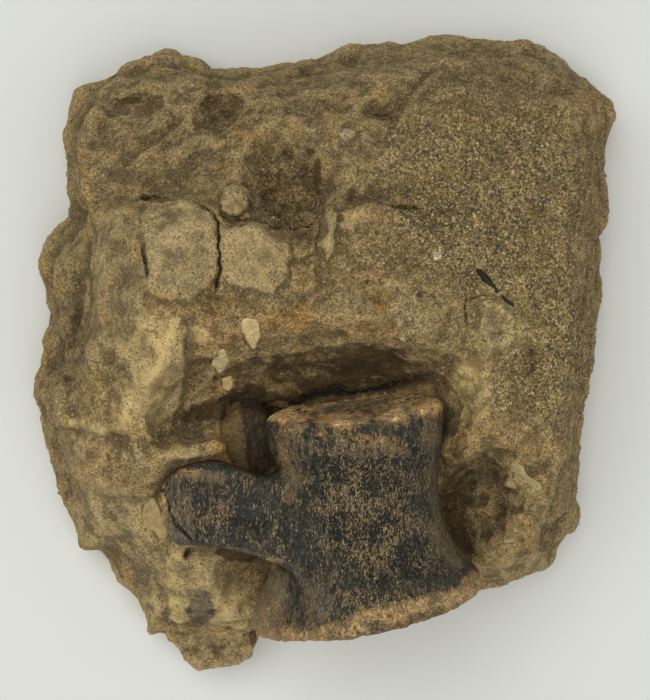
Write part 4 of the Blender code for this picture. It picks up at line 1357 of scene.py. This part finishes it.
def makeBoneMaterial():
    material, tree, shader, vector = startMaterial("fossilBone", boneLook["roughness"][0])
    shader.inputs["Specular IOR Level"].default_value = 0.3
    along = drawnOut(tree, vector, 0.3)
    streaks = noise(tree, along, 0.9, 6, 0.75)
    fibres = noise(tree, along, 2.9, 4, 0.75)
    clouds = noise(tree, vector, 0.16, 4, 0.7)
    blotches = noise(tree, vector, 0.8, 8, 0.8)
    grit = noise(tree, vector, 2.2, 3, 0.75)
    colour = mix(tree, ramp(tree, streaks, 0.46, 0.62), boneLook["body"], boneLook["brownish"])
    for mask, (target, *settings, follows) in boneStains.items():
        colour = stainAndShade(tree, colour, along if follows else vector, mask, boneLook[target], *settings)
    tanShare = times(tree, frayed(tree, vector, "tan", 0.6, 1.0), 0.85)
    wornRim = times(tree, frayed(tree, vector, "worn", 0.6, 1.0), 0.65)
    rimShare = maths(tree, "MAXIMUM", tanShare, wornRim, clamp=True)
    sound = maths(tree, "SUBTRACT", 1.0, rimShare)
    # flecks thicken towards the worn rims and gather in clouds
    cover = times(tree, attribute(tree, "flecked"), 0.33)
    cover = plus(tree, cover, times(tree, attribute(tree, "worn"), 0.6))
    cover = plus(tree, cover, times(tree, attribute(tree, "tan"), 0.5))
    cover = plus(tree, cover, ramp(tree, clouds, 0.35, 0.65, 0.28, 0.82))
    cover = plus(tree, cover, ramp(tree, streaks, 0.36, 0.64, -0.24, 0.24))
    flecks = useGroup(tree, boneFlecks, Vector=vector, Flecks_per_mm=boneLook["flecksPerMm"], Cover=cover)
    brightShare = ramp(tree, flecks.outputs["Tone"], 0.45, 0.72)
    fleckColour = mix(tree, brightShare, boneLook["dullFleck"], boneLook["fleck"])
    colour = mix(tree, times(tree, flecks.outputs["Mask"], 0.9), colour, fleckColour)
    # the worn rims: rusty, tan and pale patches with dark ones between
    crest = plus(tree, blotches, times(tree, attribute(tree, "tan"), 0.12))
    rustShare = ramp(tree, noise(tree, vector, 0.35, 4, 0.7), 0.45, 0.60)
    rimColour = mix(tree, rustShare, boneLook["rim"], boneLook["rimRust"])
    rimColour = mix(tree, ramp(tree, crest, 0.56, 0.70), rimColour, boneLook["rimLight"])
    rimColour = mix(tree, ramp(tree, clouds, 0.52, 0.36, 0.0, 0.7), rimColour, boneLook["rimDark"])
    rimColour = mix(tree, ramp(tree, crest, 0.50, 0.38), rimColour, boneLook["body"])
    colour = mix(tree, rimShare, colour, rimColour)
    colour = stainAndShade(tree, colour, vector, "endFace", boneLook["endFace"], 0.75, 0.25, 0.5)
    fibreTone = ramp(tree, fibres, 0.34, 0.66, *boneLook["fibreTone"])
    gritTone = ramp(tree, grit, 0.34, 0.66, *boneLook["gritTone"])
    tone = plus(tree, times(tree, gritTone, rimShare), times(tree, fibreTone, sound))
    # painted shade in hollows and painted light on what stands out
    tone = times(tree, tone, ramp(tree, attribute(tree, "raised"), 0.2, 0.8, *boneLook["raisedTone"]))
    # painted highlight on the worn crest of the head end
    tone = times(tree, tone, ramp(tree, attribute(tree, "wornCrestHighlight"), 0, 1, 1.0, boneLook["wornCrestHighlight"]))
    colour = toned(tree, colour, tone)
    # painted shade in the crevices
    colour = mix(tree, ramp(tree, attribute(tree, "raised"), 0.3, 0.0), colour, boneLook["creviceShade"])
    colour = stainAndShade(tree, colour, vector, "webEdge", boneLook["edge"], 0.35, 0.8, 0.5)
    # painted shade along the split of the tip
    colour = mix(tree, ramp(tree, attribute(tree, "split"), 0.35, 0.9), colour, boneLook["creviceShade"])
    tree.links.new(colour, shader.inputs["Base Color"])
    tree.links.new(ramp(tree, rimShare, 0, 1, *boneLook["roughness"]), shader.inputs["Roughness"])
    height = times(tree, fibres, sound)
    height = plus(tree, height, times(tree, flecks.outputs["Mask"], 0.2))
    height = plus(tree, height, times(tree, plus(tree, blotches, grit), rimShare))
    addBump(tree, shader, height, boneLook["bump"])
    return material


mudLook = {
    "ridgeClast": ((0.90, 0.68, 0.33), (0.68, 0.50, 0.23)),
    "upperRecessClast": ((0.92, 0.72, 0.36), (0.64, 0.48, 0.22)),
    "lowerRecessClast": ((0.72, 0.50, 0.23), (0.52, 0.36, 0.16)),
    "lowerRightClast": ((0.64, 0.49, 0.23), (0.48, 0.36, 0.16)),
    "processTipClast": ((0.53, 0.41, 0.19), (0.40, 0.29, 0.125)),
    "ridgePebble": ((0.54, 0.39, 0.17), (0.30, 0.20, 0.08)),
}


def makeMudMaterial(name):
    light, shade = mudLook[name]
    material, tree, shader, vector = startMaterial(name, 0.88)
    colour = mix(tree, ramp(tree, noise(tree, vector, 0.5, 6, 0.65), 0.35, 0.65), shade, light)
    grains = useGroup(tree, sandGrains, Vector=vector, Grains_per_mm=2.6, Dark_share=0.06, Light_share=0.08)
    colour = mix(tree, times(tree, grains.outputs["Dark"], 0.6), colour, rockLook["darkGrainAndShade"])
    # painted shade in the hollows
    colour = mix(tree, ramp(tree, attribute(tree, "raised"), 0.45, 0.1), colour, shade)
    tree.links.new(colour, shader.inputs["Base Color"])
    addBump(tree, shader, plus(tree, noise(tree, vector, 1.6, 5, 0.7), grains.outputs["Height"]), 0.25)
    return material


stumpLook = {
    "dark": (0.036, 0.024, 0.011),
    "brown": (0.092, 0.058, 0.025),
    # sand still caked on its left side
    "sandDark": (0.120, 0.072, 0.026),
    "sandLight": (0.250, 0.160, 0.060),
    "roughness": 0.8,
}


def makeStumpMaterial():
    material, tree, shader, vector = startMaterial("stumpBone", stumpLook["roughness"])
    streaks = ramp(tree, noise(tree, drawnOut(tree, vector, 0.25), 1.1, 5, 0.7), 0.4, 0.65)
    colour = mix(tree, streaks, stumpLook["dark"], stumpLook["brown"])
    sandTone = ramp(tree, noise(tree, vector, 1.6, 4, 0.75), 0.35, 0.65)
    sandColour = mix(tree, sandTone, stumpLook["sandDark"], stumpLook["sandLight"])
    colour = stainAndShade(tree, colour, vector, "caked", sandColour, 1.0, 0.8, 0.6)
    # painted shade in the hollows
    colour = mix(tree, ramp(tree, attribute(tree, "raised"), 0.45, 0.1), colour, boneLook["creviceShade"])
    tree.links.new(colour, shader.inputs["Base Color"])
    addBump(tree, shader, noise(tree, vector, 1.8, 5, 0.7), 0.4)
    return material


plantLook = {
    "black": (0.012, 0.010, 0.009),
    "rusty": (0.09, 0.045, 0.02),
    "roughness": 0.45,
}


def makePlantMaterial():
    material, tree, shader, vector = startMaterial("carbonFilm", plantLook["roughness"])
    blotches = ramp(tree, noise(tree, vector, 0.9, 5, 0.7), 0.55, 0.75)
    colour = mix(tree, blotches, plantLook["black"], plantLook["rusty"])
    tree.links.new(colour, shader.inputs["Base Color"])
    addBump(tree, shader, noise(tree, vector, 2.5, 4, 0.7), 0.3)
    return material


# Making the specimen

def dress(obj, material, slot, *nodes):
    obj.data.transform(toFrame)
    obj.data.materials.clear()
    obj.data.materials.append(material)
    obj.data.shade_smooth()
    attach(obj, "root")
    if nodes:
        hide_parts(*nodes)
    obj.data.calc_loop_triangles()
    print(obj.name, len(obj.data.loop_triangles), "triangles")


bone = makeBone()
stump = makeArchStump()
plant = makePlant()
print("bone and plant shaped")
boneTree = treeOf(bone)
rock = makeRock(boneTree)
slab = makeSlab()
print("rock shaped")
rockTree = treeOf(rock)
stones = {name: makeClast(name, rockTree) for name in clasts}
keptClear = [boneTree, *(treeOf(obj) for obj in (stump, plant, *stones.values()))]
sand = [scatterGrains(layer, rock, keptClear) for layer in grainLayers]
print("sand scattered")

rockMaterial = makeRockMaterial()
dress(rock, rockMaterial, "sandstone", "matrix_block")
dress(slab, rockMaterial, "sandstone", "matrix_lower_slab")
grainMaterial = makeGrainMaterial()
for layer in sand:
    dress(layer, grainMaterial, "sandstone")
dress(bone, makeBoneMaterial(), "fossil_bone", "centrum", "transverse_process")
dress(stump, makeStumpMaterial(), "fossil_bone", "neural_arch_stump")
for name, stone in stones.items():
    dress(stone, makeMudMaterial(name), "mudstone", clasts[name][0])
dress(plant, makePlantMaterial(), "carbon", "plant_fragment")
print("everything dressed")


# Studio

studio = {
    "floorColour": (0.80, 0.815, 0.775),
    "skyColour": (0.93, 0.97, 1.0),
    "sky": 0.31,
    "pictureHeight": 700,
    "lights": (
        # place, size, watts, colour
        ((-0.30, 0.28, 1.08), 1.0, 6.0, (1.0, 0.99, 0.96)),
        ((0.20, -0.56, 1.02), 1.2, 5.2, (1.0, 0.98, 0.95)),
    ),
}


def makeStudio():
    bm = bmesh.new()
    bmesh.ops.create_grid(bm, x_segments=1, y_segments=1, size=2.0)
    floor = meshObject(bm, "floor")
    paper = bpy.data.materials.new("paper")
    paper.use_nodes = True
    shader = paper.node_tree.nodes["Principled BSDF"]
    shader.inputs["Base Color"].default_value = (*studio["floorColour"], 1)
    shader.inputs["Roughness"].default_value = 0.9
    shader.inputs["Specular IOR Level"].default_value = 0.0
    floor.data.materials.append(paper)
    for place, size, watts, colour in studio["lights"]:
        lamp = bpy.data.lights.new("softbox", "AREA")
        lamp.shape = "DISK"
        lamp.size = size
        lamp.energy = watts
        lamp.color = colour
        holder = bpy.data.objects.new("softbox", lamp)
        holder.location = place
        holder.rotation_euler = (-Vector(place)).to_track_quat("-Z", "Y").to_euler()
        bpy.context.scene.collection.objects.link(holder)
    world = bpy.data.worlds.new("studio")
    world.use_nodes = True
    background = world.node_tree.nodes["Background"]
    background.inputs["Color"].default_value = (*studio["skyColour"], 1)
    background.inputs["Strength"].default_value = studio["sky"]
    bpy.context.scene.world = world
    bpy.context.scene.view_settings.view_transform = "Standard"


def makeCamera():
    camera = bpy.data.cameras.new("camera")
    camera.sensor_width = 36
    camera.clip_start = 0.02
    height = picture["cameraHeight"]
    camera.lens = camera.sensor_width * height / (picture["mmPerStep"] * studio["pictureHeight"])
    holder = bpy.data.objects.new("camera", camera)
    holder.location = toFrame @ Vector((0, 0, height))
    bpy.context.scene.collection.objects.link(holder)
    bpy.context.scene.camera = holder


makeStudio()
makeCamera()
print("studio ready")
